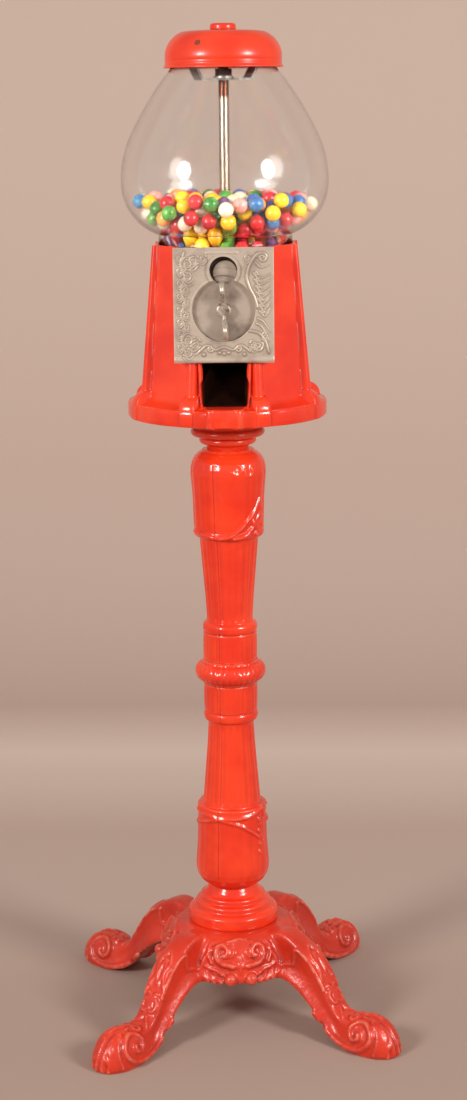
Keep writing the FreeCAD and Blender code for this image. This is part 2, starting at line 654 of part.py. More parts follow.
def make_body():
    """Octagonal cast shell with a round flange, the front box, the chute opening and its spout."""
    zero, foot = as_size(0), base_z + S["body_foot"]
    wide, wall = S["flange_radius"], S["body_wall"]
    flange = turned("body_flange", [
        (wide * 0.6, base_z), (wide, base_z), (wide, base_z + S["flange_height"]),
        (S["body_foot_flat"] + 1, foot, -S["body_foot"]), (wide * 0.6, foot),
    ])
    pads = ring_of("body_pad", OCTAGON, lambda name, angle: spoke_box(
        name, S["body_foot_flat"] - 2, wide + 2 - S["body_foot_flat"] + 2, S["pad_width"],
        S["flange_height"] + 2, base_z + 2, angle), CORNER_TURN)
    ribs = ring_of("body_rib", OCTAGON, make_rib, CORNER_TURN)
    boss_depth = S["boss_front"] * 0.36
    boss = centred_box("body_boss", S["boss_width"], boss_depth, rim_z - plate_z,
                       y=plate_back + boss_depth / 2, z=plate_z)
    spout = centred_box("body_spout", S["spout_width"], S["spout_reach"] * 0.3, S["chute_sill"],
                        y=S["spout_reach"] * 0.15 - S["spout_reach"], z=base_z)
    frame = []
    for side in (-1, 1):
        frame.append(centred_box(f"chute_frame{side + 1}", wall, S["rib_depth"] + wall, plate_z - sill_z,
                                 x=(S["chute_width"] + wall) / 2 * side,
                                 y=wall / 2 - S["body_foot_flat"] - S["rib_depth"] / 2, z=sill_z))
    outer = fuse("body_outside", octagon_wall("body_taper", zero, base_z, rim_z), flange, boss, spout,
                 *pads, *ribs, *frame)

    inner_width = S["boss_width"] - S["boss_wall"] * 2
    inner_low = plate_z + S["boss_wall"]
    inner_high = rim_z - S["boss_wall"]
    lip = S["boss_lip"]
    reach = S["spout_reach"] * 2
    cavity = octagon_wall("body_cavity", wall, base_z - 1, rim_z + 1)
    front = centred_box("body_front_clear", reach, S["spout_reach"], S["body_height"],
                        y=plate_back - S["spout_reach"] / 2, z=plate_z)
    boss_inside = centred_box("boss_inside", inner_width, boss_depth, inner_high - inner_low,
                              y=tray_front + boss_depth / 2, z=inner_low)
    window = centred_box("boss_window", inner_width - lip * 2, S["boss_face"] * 3,
                         inner_high - inner_low - lip * 2, y=plate_back, z=inner_low + lip)
    mouth = centred_box("chute_mouth_cut", S["chute_width"], S["spout_reach"], plate_z - sill_z,
                        y=-S["spout_reach"], z=sill_z)
    scoop = cylinder("spout_scoop", S["spout_width"] * 0.75, S["spout_reach"] * 0.3, y=-S["spout_reach"] - 1,
                     z=sill_z + S["spout_width"] * 0.75 - 5, along="Y")
    rebate = cylinder("base_rebate", S["base_radius"] + S["assembly_gap"], S["base_thickness"], z=base_z)
    shell = cut("body_shell", outer, cavity, front, boss_inside, window, mouth, scoop, rebate)

    lug_start = S["hopper_radius"] - S["hopper_wall"] + 2
    lugs = ring_of("body_lug", 4, lambda name, angle: spoke_box(
        name, lug_start, S["body_top_flat"] + 2 - lug_start, S["lug_width"], S["lug_height"],
        hopper_z - S["lug_height"], angle), 45)
    bores = [hopper_bore("lug_bore", hopper_z - S["lug_height"], S["lug_height"])]
    bores.append(screw_ring("base_screw_bore", S["base_screw_radius"] + S["running_gap"],
                            S["base_screw_circle"], base_z, S["chute_sill"] - 2))
    return node(cut("body_piece", fuse("body_with_lugs", shell, *lugs), *bores), "body")


def screw_ring(name, radius, circle, z, length):
    """Four upright cylinders on the diagonals."""
    pins = []
    for number in range(4):
        x, y = on_circle(1, 45 + 90 * number)
        pins.append(cylinder(f"{name}{number}", radius, length, circle * x, circle * y, z))
    return group(name, *pins)


def hopper_bore(name, z, length):
    circle = S["hopper_radius"] - S["hopper_wall"] / 2
    return screw_ring(name, S["plate_screw_radius"] + S["running_gap"], circle, z, length)


def screws(label, shank, head, circle, head_z, head_height, length):
    """Four upright screws with their heads below."""
    pieces = []
    for number in range(4):
        x, y = on_circle(1, 45 + 90 * number)
        x, y = circle * x, circle * y
        pieces.append(fuse(f"{label}{number}",
                           cylinder(f"{label}_head{number}", head, head_height, x, y, head_z),
                           cylinder(f"{label}_shank{number}", shank, length, x, y, head_z + head_height)))
    return node(group(label + "_set", *pieces), label)


def make_base_plate():
    gap = S["running_gap"]
    plate = ring("base_disc", S["tie_rod_radius"] + gap, S["base_radius"], S["base_thickness"], base_z)
    holes = screw_ring("base_plate_holes", S["base_screw_radius"] + gap, S["base_screw_circle"],
                       base_z, S["base_thickness"])
    node(cut("base_plate_piece", plate, holes), "base_plate")
    head = S["base_screw_radius"]
    screws("base_plate_screws", head, head * 1.8, S["base_screw_circle"], base_z - head, head,
           S["chute_sill"] - 4)


# Coin mechanism

tray_width = S["boss_width"] - S["boss_wall"] * 2 - S["assembly_gap"] * 2
tray_z = plate_z + S["boss_wall"] + S["assembly_gap"]
tray_height = rim_z - S["boss_wall"] - S["assembly_gap"] - tray_z
tray_rim = S["boss_lip"] - S["assembly_gap"]
plate_screw_places = [
    (side * (tray_width / 2 - S["plate_screw_inset"]), level)
    for side in (-1, 1)
    for level in (tray_z + S["plate_screw_inset"], tray_z + tray_height - S["plate_screw_inset"])
]


def along_y(name, radius, start, end, x=0, z=axle_z):
    """A cylinder along Y between two planes, on the axle unless placed elsewhere."""
    return cylinder(name, radius, end - start, x, start, z, along="Y")


def plate_screw_pins(name, radius, start, end):
    return [along_y(f"{name}{number}", radius, start, end, x, z)
            for number, (x, z) in enumerate(plate_screw_places)]


def make_face_plate():
    """Plate with the round window of the coin wheel and, above and into it, the coin hole."""
    blank = centred_box("face_blank", S["plate_width"], S["plate_thickness"], S["plate_height"],
                        y=plate_back - S["plate_thickness"] / 2, z=plate_z)
    bevel = along_y("coin_bevel_blank", S["coin_hole_radius"] + S["coin_bevel"],
                    plate_front - S["coin_bevel_height"], plate_back, z=coin_z)
    front = plate_front - S["coin_bevel_height"] - 1
    window = along_y("face_window", S["window_radius"], front, plate_back)
    hole = along_y("coin_hole", S["coin_hole_radius"], front, plate_back, z=coin_z)
    threads = plate_screw_pins("face_thread", S["plate_screw_radius"] + S["running_gap"],
                               plate_back - S["plate_thickness"] * 0.7, plate_back)
    solid = fuse("face_solid", blank, bevel)
    return node(cut("face_plate_piece", solid, window, hole, *threads), "face_plate")


def make_back_plate():
    """Shallow tray behind the coin wheel, clamped against the back of the body's front wall."""
    blank = centred_box("tray_blank", tray_width, tray_back - tray_front, tray_height,
                        y=(tray_back + tray_front) / 2, z=tray_z)
    hollow = centred_box("tray_hollow", tray_width - tray_rim * 2, tray_floor - tray_front,
                         tray_height - tray_rim * 2, y=(tray_front + tray_floor) / 2, z=tray_z + tray_rim)
    bush = along_y("tray_bush_hole", S["bush_radius"] + S["running_gap"], tray_front, tray_back)
    coin_exit = along_y("coin_exit", S["coin_hole_radius"], tray_front, tray_back,
                        z=axle_z - S["coin_rise"] + 5)
    holes = plate_screw_pins("tray_screw_hole", S["plate_screw_radius"] + S["running_gap"],
                             tray_front, tray_back)
    pin = along_y("tray_pin_hole", S["pawl_pin_radius"] + S["running_gap"], tray_front, tray_back,
                  S["pawl_pivot_x"], axle_z + S["pawl_pivot_rise"])
    node(cut("coin_back_plate_piece", blank, hollow, bush, coin_exit, pin, *holes), "coin_back_plate")
    head = S["plate_screw_radius"] * 2
    tip = plate_back - S["plate_thickness"] * 0.6
    bolts = []
    for number, (x, z) in enumerate(plate_screw_places):
        shank = along_y(f"plate_shank{number}", S["plate_screw_radius"], tip, tray_back, x, z)
        cap = along_y(f"plate_head{number}", head, tray_back, tray_back + S["plate_screw_radius"], x, z)
        bolts.append(fuse(f"plate_screw{number}", shank, cap))
    node(group("face_plate_screw_set", *bolts), "face_plate_screws")


def make_coin_wheel():
    blank = along_y("coin_wheel_blank", S["coin_wheel_radius"], wheel_front, wheel_back)
    notch = along_y("coin_notch", S["coin_hole_radius"] - 0.2, wheel_front, wheel_back, z=coin_z)
    bore = along_y("coin_wheel_bore", S["axle_radius"] + S["running_gap"], wheel_front, wheel_back)
    return node(cut("coin_wheel_piece", blank, notch, bore), "coin_wheel")


def make_handle():
    """Turning handle: a hub with two wings, each with a rounded crest."""
    hub_length = S["handle_hub_length"].value
    reach, crest = S["wing_reach"].value, S["wing_height"].value
    front, half = wheel_front.value, S["wing_thickness"].value / 2
    start = Vector(0, front - hub_length * 0.8, 0)
    top = Vector(reach * 0.62, front - crest, 0)
    end = Vector(reach, front - 1, 0)
    edges = [
        Part.Arc(start, top, end).toShape(),
        Part.makeLine(end, Vector(reach, front, 0)),
        Part.makeLine(Vector(reach, front, 0), Vector(0, front, 0)),
        Part.makeLine(Vector(0, front, 0), start),
    ]
    wing = Part.Face(Part.Wire(edges)).extrude(Vector(0, 0, 2 * half))
    wing.translate(Vector(0, 0, -half))
    pair = []
    for angle in (90, 270):
        copy = wing.copy()
        copy.rotate(Vector(), Vector(0, 1, 0), angle + S["handle_lean"].value)
        pair.append(copy)
    hub = Part.makeCylinder(S["handle_hub_radius"].value, hub_length, Vector(0, front - hub_length, 0),
                            Vector(0, 1, 0))
    button = Part.makeSphere(S["handle_hub_radius"].value * 0.62, Vector(0, front - hub_length, 0))
    bore = Part.makeCylinder(S["axle_radius"].value + S["running_gap"].value, hub_length * 0.7,
                             Vector(0, front - hub_length * 0.7, 0), Vector(0, 1, 0))
    shape = hub.fuse(pair + [button]).cut(bore).removeSplitter()
    shape.translate(Vector(0, 0, axle_z.value))
    return node(feature("turn_handle", shape), "turn_handle")


shoulder_front = tray_floor + S["bush_length"] + S["seat_gap"]
thread_radius = S["axle_radius"] - 0.5
axle_nut_length = S["nut_height"] * 0.55


def make_axle():
    """Axle with a shoulder behind its bush, and the nut that holds the pinion on it."""
    gap = S["running_gap"]
    front = wheel_front - S["handle_hub_length"] * 0.65
    end = pinion_back + axle_nut_length + 1
    node(fuse("axle_piece",
              along_y("axle_front", S["axle_radius"], front, shoulder_front),
              along_y("axle_collar", S["axle_shoulder"], shoulder_front, pinion_front),
              along_y("axle_thread", thread_radius, pinion_front, end)), "handle_axle")
    bush = along_y("bush_blank", S["bush_radius"], tray_floor, tray_floor + S["bush_length"])
    bore = along_y("bush_bore", S["axle_radius"] + gap, tray_floor, tray_floor + S["bush_length"])
    node(cut("bush_piece", bush, bore), "axle_bush")
    blank = hexagon("axle_nut_blank", S["nut_across"] * 0.77, axle_nut_length,
                    y=pinion_back, z=axle_z, along="Y")
    hole = along_y("axle_nut_bore", thread_radius + gap, pinion_back, pinion_back + axle_nut_length)
    node(cut("axle_nut_piece", blank, hole), "axle_nut")


def make_pawl():
    """Pawl that rides on the rim of the coin wheel, its pivot pin and its leaf spring."""
    nose_x, pivot_x = S["pawl_nose_x"].value, S["pawl_pivot_x"].value
    pivot_z, boss = S["pawl_pivot_rise"].value, S["pawl_boss"].value
    clear = S["coin_wheel_radius"].value + S["seat_gap"].value
    nose_z = math.sqrt(clear * clear - nose_x * nose_x)
    middle = (tray_floor.value + wheel_front.value) / 2
    thick = S["pawl_thickness"].value
    nose = Vector(nose_x, 0, nose_z + 0.05)
    pivot = Vector(pivot_x, 0, pivot_z)
    line = (pivot - nose).normalize()
    side = Vector(line.z, 0, -line.x)
    back = nose - side * boss * 1.3 + line * boss * 0.4
    points = [nose, pivot + side * boss, pivot - side * boss, back]
    arm = Part.Face(Part.makePolygon(points + points[:1])).extrude(Vector(0, thick, 0))
    round_end = Part.makeCylinder(boss, thick, pivot, Vector(0, 1, 0))
    hole = S["pawl_pin_radius"].value + S["running_gap"].value
    bore = Part.makeCylinder(hole, thick, pivot, Vector(0, 1, 0))
    shape = arm.fuse(round_end).cut(bore).removeSplitter()
    shape.translate(Vector(0, middle - thick / 2, axle_z.value))
    node(feature("coin_pawl", shape), "coin_pawl")
    pin_front = (tray_floor + wheel_front) / 2 - S["pawl_thickness"] / 2 - S["seat_gap"]
    node(along_y("pawl_pin", S["pawl_pin_radius"], pin_front, tray_back,
                 S["pawl_pivot_x"], axle_z + S["pawl_pivot_rise"]), "pawl_pin")

    sheet_t = S["spring_sheet"].value
    roof = (tray_z + tray_height - tray_rim).value - axle_z.value
    tip = back + line * 2.0 - side * S["seat_gap"].value
    bend = Vector(nose_x + 5, 0, roof)
    leaf = [Vector(pivot_x + 3, 0, roof), bend, tip - Vector(sheet_t, 0, 0), tip,
            bend + Vector(sheet_t, 0, -sheet_t), Vector(pivot_x + 3, 0, roof - sheet_t)]
    width = Vector(0, tray_floor.value - tray_front.value, 0)
    shape = Part.Face(Part.makePolygon(leaf + leaf[:1])).extrude(width)
    shape.translate(Vector(0, tray_front.value, axle_z.value))
    node(feature("pawl_spring", shape), "pawl_spring")


# Dispensing wheel

def involute_tooth(radius, teeth, share, head, foot):
    """Outline of one pinion tooth that points along +Z, from root to tip and back."""
    pressure = math.radians(20)
    base = radius * math.cos(pressure)
    half_pitch_angle = math.pi * share / teeth

    def flank(at):
        turn = math.acos(min(base / at, 1))
        spread = math.tan(pressure) - pressure - (math.tan(turn) - turn)
        return half_pitch_angle + spread

    radii = [radius - foot, max(base, radius - foot * 0.6), radius - head * 0.3, radius + head * 0.4,
             radius + head]
    right = [(at, flank(max(at, base))) for at in radii]
    points = [(at * math.sin(angle), at * math.cos(angle)) for at, angle in right]
    return [(-x, z) for x, z in points] + points[::-1]


def make_pinion():
    """Spur pinion on the axle; a tooth gap is up, where it meets the crown."""
    teeth = int(S["pinion_teeth"].value)
    outline = []
    tooth = involute_tooth(pinion_radius.value, teeth, S["tooth_share"].value, addendum.value, dedendum.value)
    for number in range(teeth):
        turn = 2 * math.pi * (number + 0.5) / teeth
        c, s = math.cos(turn), math.sin(turn)
        outline += [Vector(x * c + z * s, pinion_front.value, z * c - x * s) for x, z in tooth]
    blank = Part.Face(Part.makePolygon(outline + outline[:1])).extrude(Vector(0, S["gear_face"].value, 0))
    bore = Part.makeCylinder(thread_radius.value + S["running_gap"].value, S["gear_face"].value,
                             Vector(0, pinion_front.value, 0), Vector(0, 1, 0))
    shape = blank.cut(bore)
    shape.translate(Vector(0, 0, axle_z.value))
    return node(feature("drive_pinion", shape), "drive_pinion")


def make_gum_wheel():
    """Wheel with pockets that carry the gumballs, and a crown of teeth below its edge."""
    teeth = int(S["crown_teeth"].value)
    low, thick = wheel_z.value, S["wheel_thickness"].value
    disc = Part.makeCylinder(S["wheel_radius"].value, thick, Vector(0, 0, low))
    pockets = []
    count = int(S["pocket_count"].value)
    for number in range(count):
        x, y = on_circle(S["pocket_circle"].value, S["drop_angle"].value + 360 * (number + 0.5) / count)
        pockets.append(Part.makeCylinder(S["pocket_radius"].value, thick, Vector(x, y, low)))
    journal = S["hub_journal"].value + S["running_gap"].value
    pockets.append(Part.makeCylinder(journal, thick, Vector(0, 0, low)))
    disc = disc.cut(pockets)

    pitch, face = crown_radius.value, S["gear_face"].value / 2 + 0.7
    half = math.pi * S["tooth_share"].value / teeth
    lean = math.tan(math.radians(20))
    root, tip = dedendum.value, -addendum.value
    wires = []
    for radius in (pitch - face, pitch + face):
        points = []
        for level, sign in ((root + 0.5, -1), (tip, -1), (tip, 1), (root + 0.5, 1)):
            angle = sign * (half + (level * lean) / pitch)
            points.append(Vector(radius * math.sin(angle), -radius * math.cos(angle), level))
        wires.append(Part.makePolygon(points + points[:1]))
    tooth = Part.makeLoft(wires, True, True)
    tooth.translate(Vector(0, 0, low - root))
    crown = []
    for number in range(teeth):
        copy = tooth.copy()
        copy.rotate(Vector(), Vector(0, 0, 1), 360 * number / teeth)
        crown.append(copy)
    return node(feature("gum_wheel", disc.fuse(crown).removeSplitter()), "gum_wheel")


def make_hopper():
    """Ring under the glass, with the wheel's floor and post on three arms and the drop hole."""
    outer, inner = S["hopper_radius"], S["hopper_radius"] - S["hopper_wall"]
    cone = S["neck_radius"] - S["glass_wall"] - 0.5
    wall = turned("hopper_ring", [
        (inner, hopper_z), (outer, hopper_z), (outer, hopper_top), (cone, hopper_top),
        (inner, guard_nut_z),
    ])
    post = S["hub_journal"]
    disc = cylinder("hopper_disc", crown_radius - S["gear_face"] / 2 - 2, S["hopper_floor"], z=floor_z)
    stem = cylinder("hopper_stem", post * 1.5, floor_top - hopper_z, z=hopper_z)
    journal = cylinder("hopper_journal", post, guard_z - hopper_z, z=hopper_z)
    arms = []
    for angle in (0, 90, 180):
        arms.append(spoke_box(f"hopper_arm{angle}", as_size(0), inner + 2, S["arm_width"], S["hopper_arm"],
                              hopper_z, angle))
    x, y = on_circle(1, S["drop_angle"].value)
    drop = cylinder("hopper_drop", S["drop_radius"], S["hopper_floor"],
                    S["pocket_circle"] * x, S["pocket_circle"] * y, floor_z)
    bore = cylinder("hopper_bore", S["rod_radius"] + S["running_gap"], guard_z - hopper_z, z=hopper_z)
    threads = hopper_bore("hopper_threads", hopper_z, S["lug_height"])
    solid = fuse("hopper_solid", wall, disc, stem, journal, *arms)
    node(cut("hopper_piece", solid, drop, bore, threads), "hopper")
    shank = S["plate_screw_radius"]
    circle = outer - S["hopper_wall"] / 2
    head_z = hopper_z - S["lug_height"] - shank * 1.5
    screws("hopper_screws", shank, shank * 2, circle, head_z, shank * 1.5, S["lug_height"] * 1.8)


def make_guard():
    """Plate on the post that keeps loose gumballs off the drop hole."""
    thick, reach = S["guard_thickness"].value, S["hopper_radius"].value - S["hopper_wall"].value - 2
    spread = S["guard_spread"].value
    sector = Part.makeCylinder(reach, thick, Vector(), Vector(0, 0, 1), 2 * spread)
    sector.rotate(Vector(), Vector(0, 0, 1), S["drop_angle"].value - spread)
    eye = Part.makeCylinder(S["hub_journal"].value, thick)
    bore = Part.makeCylinder(S["rod_radius"].value + S["running_gap"].value, thick)
    shape = sector.fuse(eye).cut(bore).removeSplitter()
    shape.translate(Vector(0, 0, guard_z.value))
    return node(feature("ball_guard", shape), "ball_guard")


def make_chute():
    """Sheet trough from below the drop hole to the opening at the front."""
    t, gap = S["chute_sheet"].value, S["seat_gap"].value
    x, y = on_circle(S["pocket_circle"].value, S["drop_angle"].value)
    back_half = S["drop_radius"].value + t + 0.3
    front_half = S["chute_width"].value / 2 - S["assembly_gap"].value * 2
    side = S["chute_side"].value

    def trough(at_y, middle, half, floor, top):
        points = [(-half, top), (-half, floor), (half, floor), (half, top),
                  (half - t, top), (half - t, floor + t), (t - half, floor + t), (t - half, top)]
        wire = [Vector(middle + px, at_y, pz) for px, pz in points]
        return Part.makePolygon(wire + wire[:1])

    back_y = y + S["drop_radius"].value + 0.6
    top = floor_z.value - gap
    front_y = -S["body_foot_flat"].value
    front_floor = sill_z.value + gap
    wires = [trough(back_y, x, back_half, top - side - 4, top),
             trough(front_y, 0, front_half, front_floor, front_floor + side)]
    channel = Part.makeLoft(wires, True, True)
    end = Part.makeBox(2 * back_half, t, side + 4, Vector(x - back_half, back_y, top - side - 4))
    return node(feature("gum_chute", channel.fuse(end).removeSplitter()), "gum_chute")


# Globe and lid

def hex_nut(label, z):
    blank = hexagon(label + "_blank", S["nut_across"], S["nut_height"], z=z)
    hole = cylinder(label + "_bore", S["rod_radius"] + S["running_gap"], S["nut_height"], z=z)
    return node(cut(label + "_piece", blank, hole), label)


bar_z = mouth_top - S["bar_drop"]
clamp_washer_z = bar_z + S["bar_thickness"]
lid_nut_z = lid_top - S["lid_sheet"] - S["nut_height"]
knob_z = lid_top + 0.2


def make_centre_rod():
    """Rod from under the hopper up to the lid, with its nuts."""
    low = hopper_z - S["nut_height"] - 2
    high = knob_z + S["knob_height"] * 0.6
    node(cylinder("centre_rod", S["rod_radius"], high - low, z=low), "centre_rod")
    hex_nut("rod_anchor_nut", hopper_z - S["nut_height"])
    hex_nut("guard_nut", guard_nut_z)
    node(ring("clamp_washer", S["rod_radius"] + S["running_gap"], S["nut_across"] * 0.7,
              S["gasket_thickness"], clamp_washer_z), "clamp_washer")
    hex_nut("clamp_nut", clamp_washer_z + S["gasket_thickness"])
    hex_nut("lid_nut", lid_nut_z)


def glass_arc(wide, narrow, rise):
    """Radius of an arc that leaves the widest part upright and falls to narrow over rise."""
    fall = wide - narrow
    return (fall * fall + rise * rise) / (fall * 2)


def glass_corners(inset, foot):
    """One side of the glass from the foot of the globe up to the mouth."""
    neck, wide = S["neck_radius"] - inset, S["globe_radius"] - inset
    shoulder = S["globe_shoulder"] - inset
    return [
        (neck, foot),
        (wide, globe_middle_z, glass_arc(wide, neck, globe_middle_z - foot)),
        (shoulder, shoulder_z, glass_arc(wide, shoulder, S["globe_shoulder_rise"])),
        (S["mouth_radius"] - inset, mouth_z, S["globe_slope"]),
    ]


def make_globe():
    wall, neck, mouth = S["glass_wall"], S["neck_radius"], S["mouth_radius"]
    outside = glass_corners(as_size(0), globe_foot_z)
    inside = glass_corners(wall, globe_foot_z + wall)
    corners = [(neck - wall, glass_z), (neck, glass_z), *outside]
    corners += [(mouth, mouth_top), (mouth - wall, mouth_top)]
    bends = [-corner[2] for corner in inside[:0:-1]]
    corners.append(inside[-1][:2])
    for corner, bend in zip(inside[-2::-1], bends):
        corners.append((corner[0], corner[1], bend))
    node(turned("globe", corners), "globe")
    node(ring("globe_gasket", neck - wall - 0.5, S["hopper_radius"], S["gasket_thickness"], hopper_top),
         "globe_gasket")


def make_clamp_bar():
    """Bent strip that hooks over the mouth of the glass and is pulled down by the rod."""
    t, flat = S["bar_thickness"].value, S["bar_flat"].value
    low, high = bar_z.value, mouth_top.value
    mouth, wall = S["mouth_radius"].value, S["glass_wall"].value
    hook = mouth - wall - 1.8
    half = [(flat, low), (hook, high), (mouth, high), (mouth, high + t), (hook - t * 0.7, high + t),
            (flat - t * 0.6, low + t)]
    outline = [Vector(x, 0, z) for x, z in half] + [Vector(-x, 0, z) for x, z in reversed(half)]
    width = S["bar_width"].value
    bar = Part.Face(Part.makePolygon(outline + outline[:1])).extrude(Vector(0, width, 0))
    bar.translate(Vector(0, -width / 2, 0))
    bore = Part.makeCylinder(S["rod_radius"].value + S["running_gap"].value, 2 * t, Vector(0, 0, low - t))
    reach = Part.makeCylinder(mouth, high + t - low, Vector(0, 0, low))
    shape = bar.common(reach).cut(bore)
    shape.rotate(Vector(), Vector(0, 0, 1), S["bar_turn"].value)
    return node(feature("clamp_bar", shape), "clamp_bar")


def make_lid():
    t, wide, lip = S["lid_sheet"], S["lid_radius"], S["lid_lip"]
    side, crown, bend = lid_z + S["lid_side"], S["lid_crown"], S["lid_round"]
    hole = S["rod_radius"] + S["assembly_gap"]
    eave = lid_top - 1.5
    node(turned("lid", [
        (hole, lid_top - t), (hole, lid_top), (S["knob_radius"] + 1, lid_top), (crown, eave),
        (wide, side, -bend), (wide, lid_z + lip * 2), (wide + lip, lid_z + lip), (wide + lip, lid_z),
        (wide - t, lid_z), (wide - t, side), (crown, eave - t, bend - t), (S["knob_radius"] + 1, lid_top - t),
    ]), "lid")
    radius, z, high = S["knob_radius"], knob_z, S["knob_height"]
    bore, edge = S["rod_radius"] + S["running_gap"], high * 0.2
    node(turned("lid_knob", [
        (bore, z), (radius, z), (radius, z + high - edge), (radius - edge, z + high), (as_size(0), z + high),
        (as_size(0), z + high * 0.7), (bore, z + high * 0.7),
    ]), "lid_knob")


# Gumballs

COLOURS = ["red", "orange", "yellow", "green", "blue", "white", "pink", "purple"]
COLOUR_SHARES = [20, 14, 16, 11, 14, 14, 9, 4]


def glass_inside(level):
    """Inner radius of hopper and glass at a height."""
    wall = S["glass_wall"].value
    neck, wide = S["neck_radius"].value - wall, S["globe_radius"].value - wall
    foot, middle = globe_foot_z.value + wall, globe_middle_z.value
    if level < hopper_top.value:
        ring_wall = S["hopper_radius"].value - S["hopper_wall"].value
        low, high = guard_nut_z.value, hopper_top.value
        return ring_wall + (neck - 0.5 - ring_wall) * max(level - low, 0) / (high - low)
    if level < foot:
        return neck - 0.5
    rise = middle - foot if level < middle else S["globe_shoulder_rise"].value
    narrow = neck if level < middle else S["globe_shoulder"].value - wall
    bend = ((wide - narrow) ** 2 + rise ** 2) / (2 * (wide - narrow))
    return wide - bend + math.sqrt(max(bend ** 2 - (level - middle) ** 2, 0))


def centre_limits(radius):
    """Largest distance from the axis for a ball's centre, at each whole millimetre of height."""
    low, high = int(guard_nut_z.value), int(shoulder_z.value)
    wall = [(glass_inside(level), level) for level in range(low - 2, high + 12)]
    limits = {}
    for level in range(low, high):
        reach = glass_inside(level) - radius
        for wall_radius, wall_level in wall:
            rise = wall_level - level
            if abs(rise) < radius:
                reach = min(reach, wall_radius - math.sqrt(radius * radius - rise * rise))
        limits[level] = reach
    return limits


def close_pairs(balls, reach):
    """Pairs of balls that may touch, found through a grid of cells as wide as reach."""
    cells = {}
    for index, ball in enumerate(balls):
        cells.setdefault(tuple(int(value // reach) for value in ball), []).append(index)
    steps = list(itertools.product((-1, 0, 1), repeat=3))
    pairs = []
    for (i, j, k), members in cells.items():
        near = [index for di, dj, dk in steps for index in cells.get((i + di, j + dj, k + dk), [])]
        pairs += [(first, second) for first in members for second in near if first < second]
    return pairs


def push_apart(balls, pairs, width):
    """Move each pair that overlaps apart by equal shares."""
    for first, second in pairs:
        one, two = balls[first], balls[second]
        dx, dy, dz = one[0] - two[0], one[1] - two[1], one[2] - two[2]
        square = dx * dx + dy * dy + dz * dz
        if square < width * width:
            gap = math.sqrt(square) + 1e-9
            share = 0.5 * (width - gap) / gap
            one[0], one[1], one[2] = one[0] + dx * share, one[1] + dy * share, one[2] + dz * share
            two[0], two[1], two[2] = two[0] - dx * share, two[1] - dy * share, two[2] - dz * share


def keep_inside(balls, limits, core, floor):
    """Hold every ball above the floor, outside the core and inside the glass."""
    for ball in balls:
        ball[2] = max(ball[2], floor)
        level = min(max(ball[2], min(limits)), max(limits) - 1)
        low = int(level)
        limit = limits[low] + (limits[low + 1] - limits[low]) * (level - low)
        reach = math.hypot(ball[0], ball[1]) + 1e-9
        wanted = min(max(reach, core), limit)
        ball[0], ball[1] = ball[0] * wanted / reach, ball[1] * wanted / reach


def pack_gumballs():
    """Fill the bowl to a level, then let the balls sink and push them apart; the seed fixes the pile."""
    chance = random.Random(11)
    radius = (S["ball_diameter"].value + S["seat_gap"].value) / 2
    limits = centre_limits(radius + S["seat_gap"].value)
    floor, top = guard_nut_z.value + radius, (rim_z + S["pile_top"]).value
    core = S["nut_across"].value * 0.6 + radius
    widest = max(limits.values())
    balls, ceilings = [], []
    while len(balls) < int(S["ball_count"].value):
        level = chance.uniform(floor, top)
        reach = widest * math.sqrt(chance.random())
        if reach < limits[int(level)]:
            balls.append([*on_circle(reach, chance.uniform(0, 360)), level])
            ceilings.append(top + chance.uniform(0, S["pile_ripple"].value))
    sinking, levelling, resting = 700, 400, 200
    for step in range(sinking + levelling + resting):
        if step % 4 == 0:
            pairs = close_pairs(balls, 2.6 * radius)
        for ball, ceiling in zip(balls, ceilings):
            if step < sinking:
                ball[2] -= 0.1 * (1 - step / sinking)
            if step < sinking + levelling:
                ball[2] = min(ball[2], ceiling)
        push_apart(balls, pairs, 2 * radius)
        keep_inside(balls, limits, core, floor)
    return balls


def make_gumballs():
    chance = random.Random(5)
    balls = {colour: [] for colour in COLOURS}
    radius = S["ball_diameter"].value / 2
    for x, y, z in pack_gumballs():
        colour = chance.choices(COLOURS, COLOUR_SHARES)[0]
        balls[colour].append(Part.makeSphere(radius, Vector(x, y, z)))
    for colour in COLOURS:
        label = "gumballs_" + colour
        node(feature(label, Part.makeCompound(balls[colour])), label)
    count = int(S["pocket_count"].value)
    loaded = []
    for number in range(count):
        x, y = on_circle(S["pocket_circle"].value, S["drop_angle"].value + 360 * (number + 0.5) / count)
        loaded.append(Part.makeSphere(radius, Vector(x, y, floor_top.value + radius + S["seat_gap"].value)))
    node(feature("wheel_gumballs", Part.makeCompound(loaded)), "wheel_gumballs")


make_leg_base()
make_plinth()
make_column("column_lower", collar_z, -1)
make_collar()
make_column("column_upper", upper_z, 1)
make_cap()
make_tie_rod()
make_body()
make_base_plate()
make_face_plate()
make_back_plate()
make_coin_wheel()
make_handle()
make_axle()
make_pawl()
make_pinion()
make_gum_wheel()
make_hopper()
make_guard()
make_chute()
make_centre_rod()
make_globe()
make_clamp_bar()
make_lid()
make_gumballs()
doc.recompute()

for item in doc.Objects:
    if "Invalid" in item.State or "Error" in item.State:
        raise RuntimeError(f"{item.Name} failed: {item.State}")
for item in nodes:
    if item.Shape.isNull() or not item.Shape.isValid():
        raise RuntimeError(f"{item.Label} has no valid shape")
os.makedirs("parts", exist_ok=True)
for item in nodes:
    item.Shape.exportStep(f"parts/{item.Label}.step")
    print(item.Label, len(item.Shape.Solids), round(item.Shape.Volume / 1000, 2))
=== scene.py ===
# %% [markdown]
# # A gumball machine on a cast pedestal
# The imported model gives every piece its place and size. This script dresses it: castings get their
# ornament, the coin plate its scrollwork, the globe its glass and gumballs, and every surface a
# finish. All pieces share one frame, in metres, with the floor at z = 0 and the front towards -Y.

# %% Load the frame
import math

import bmesh
import bpy
import numpy as np
from mathutils import Matrix, Vector
from mathutils.bvhtree import BVHTree


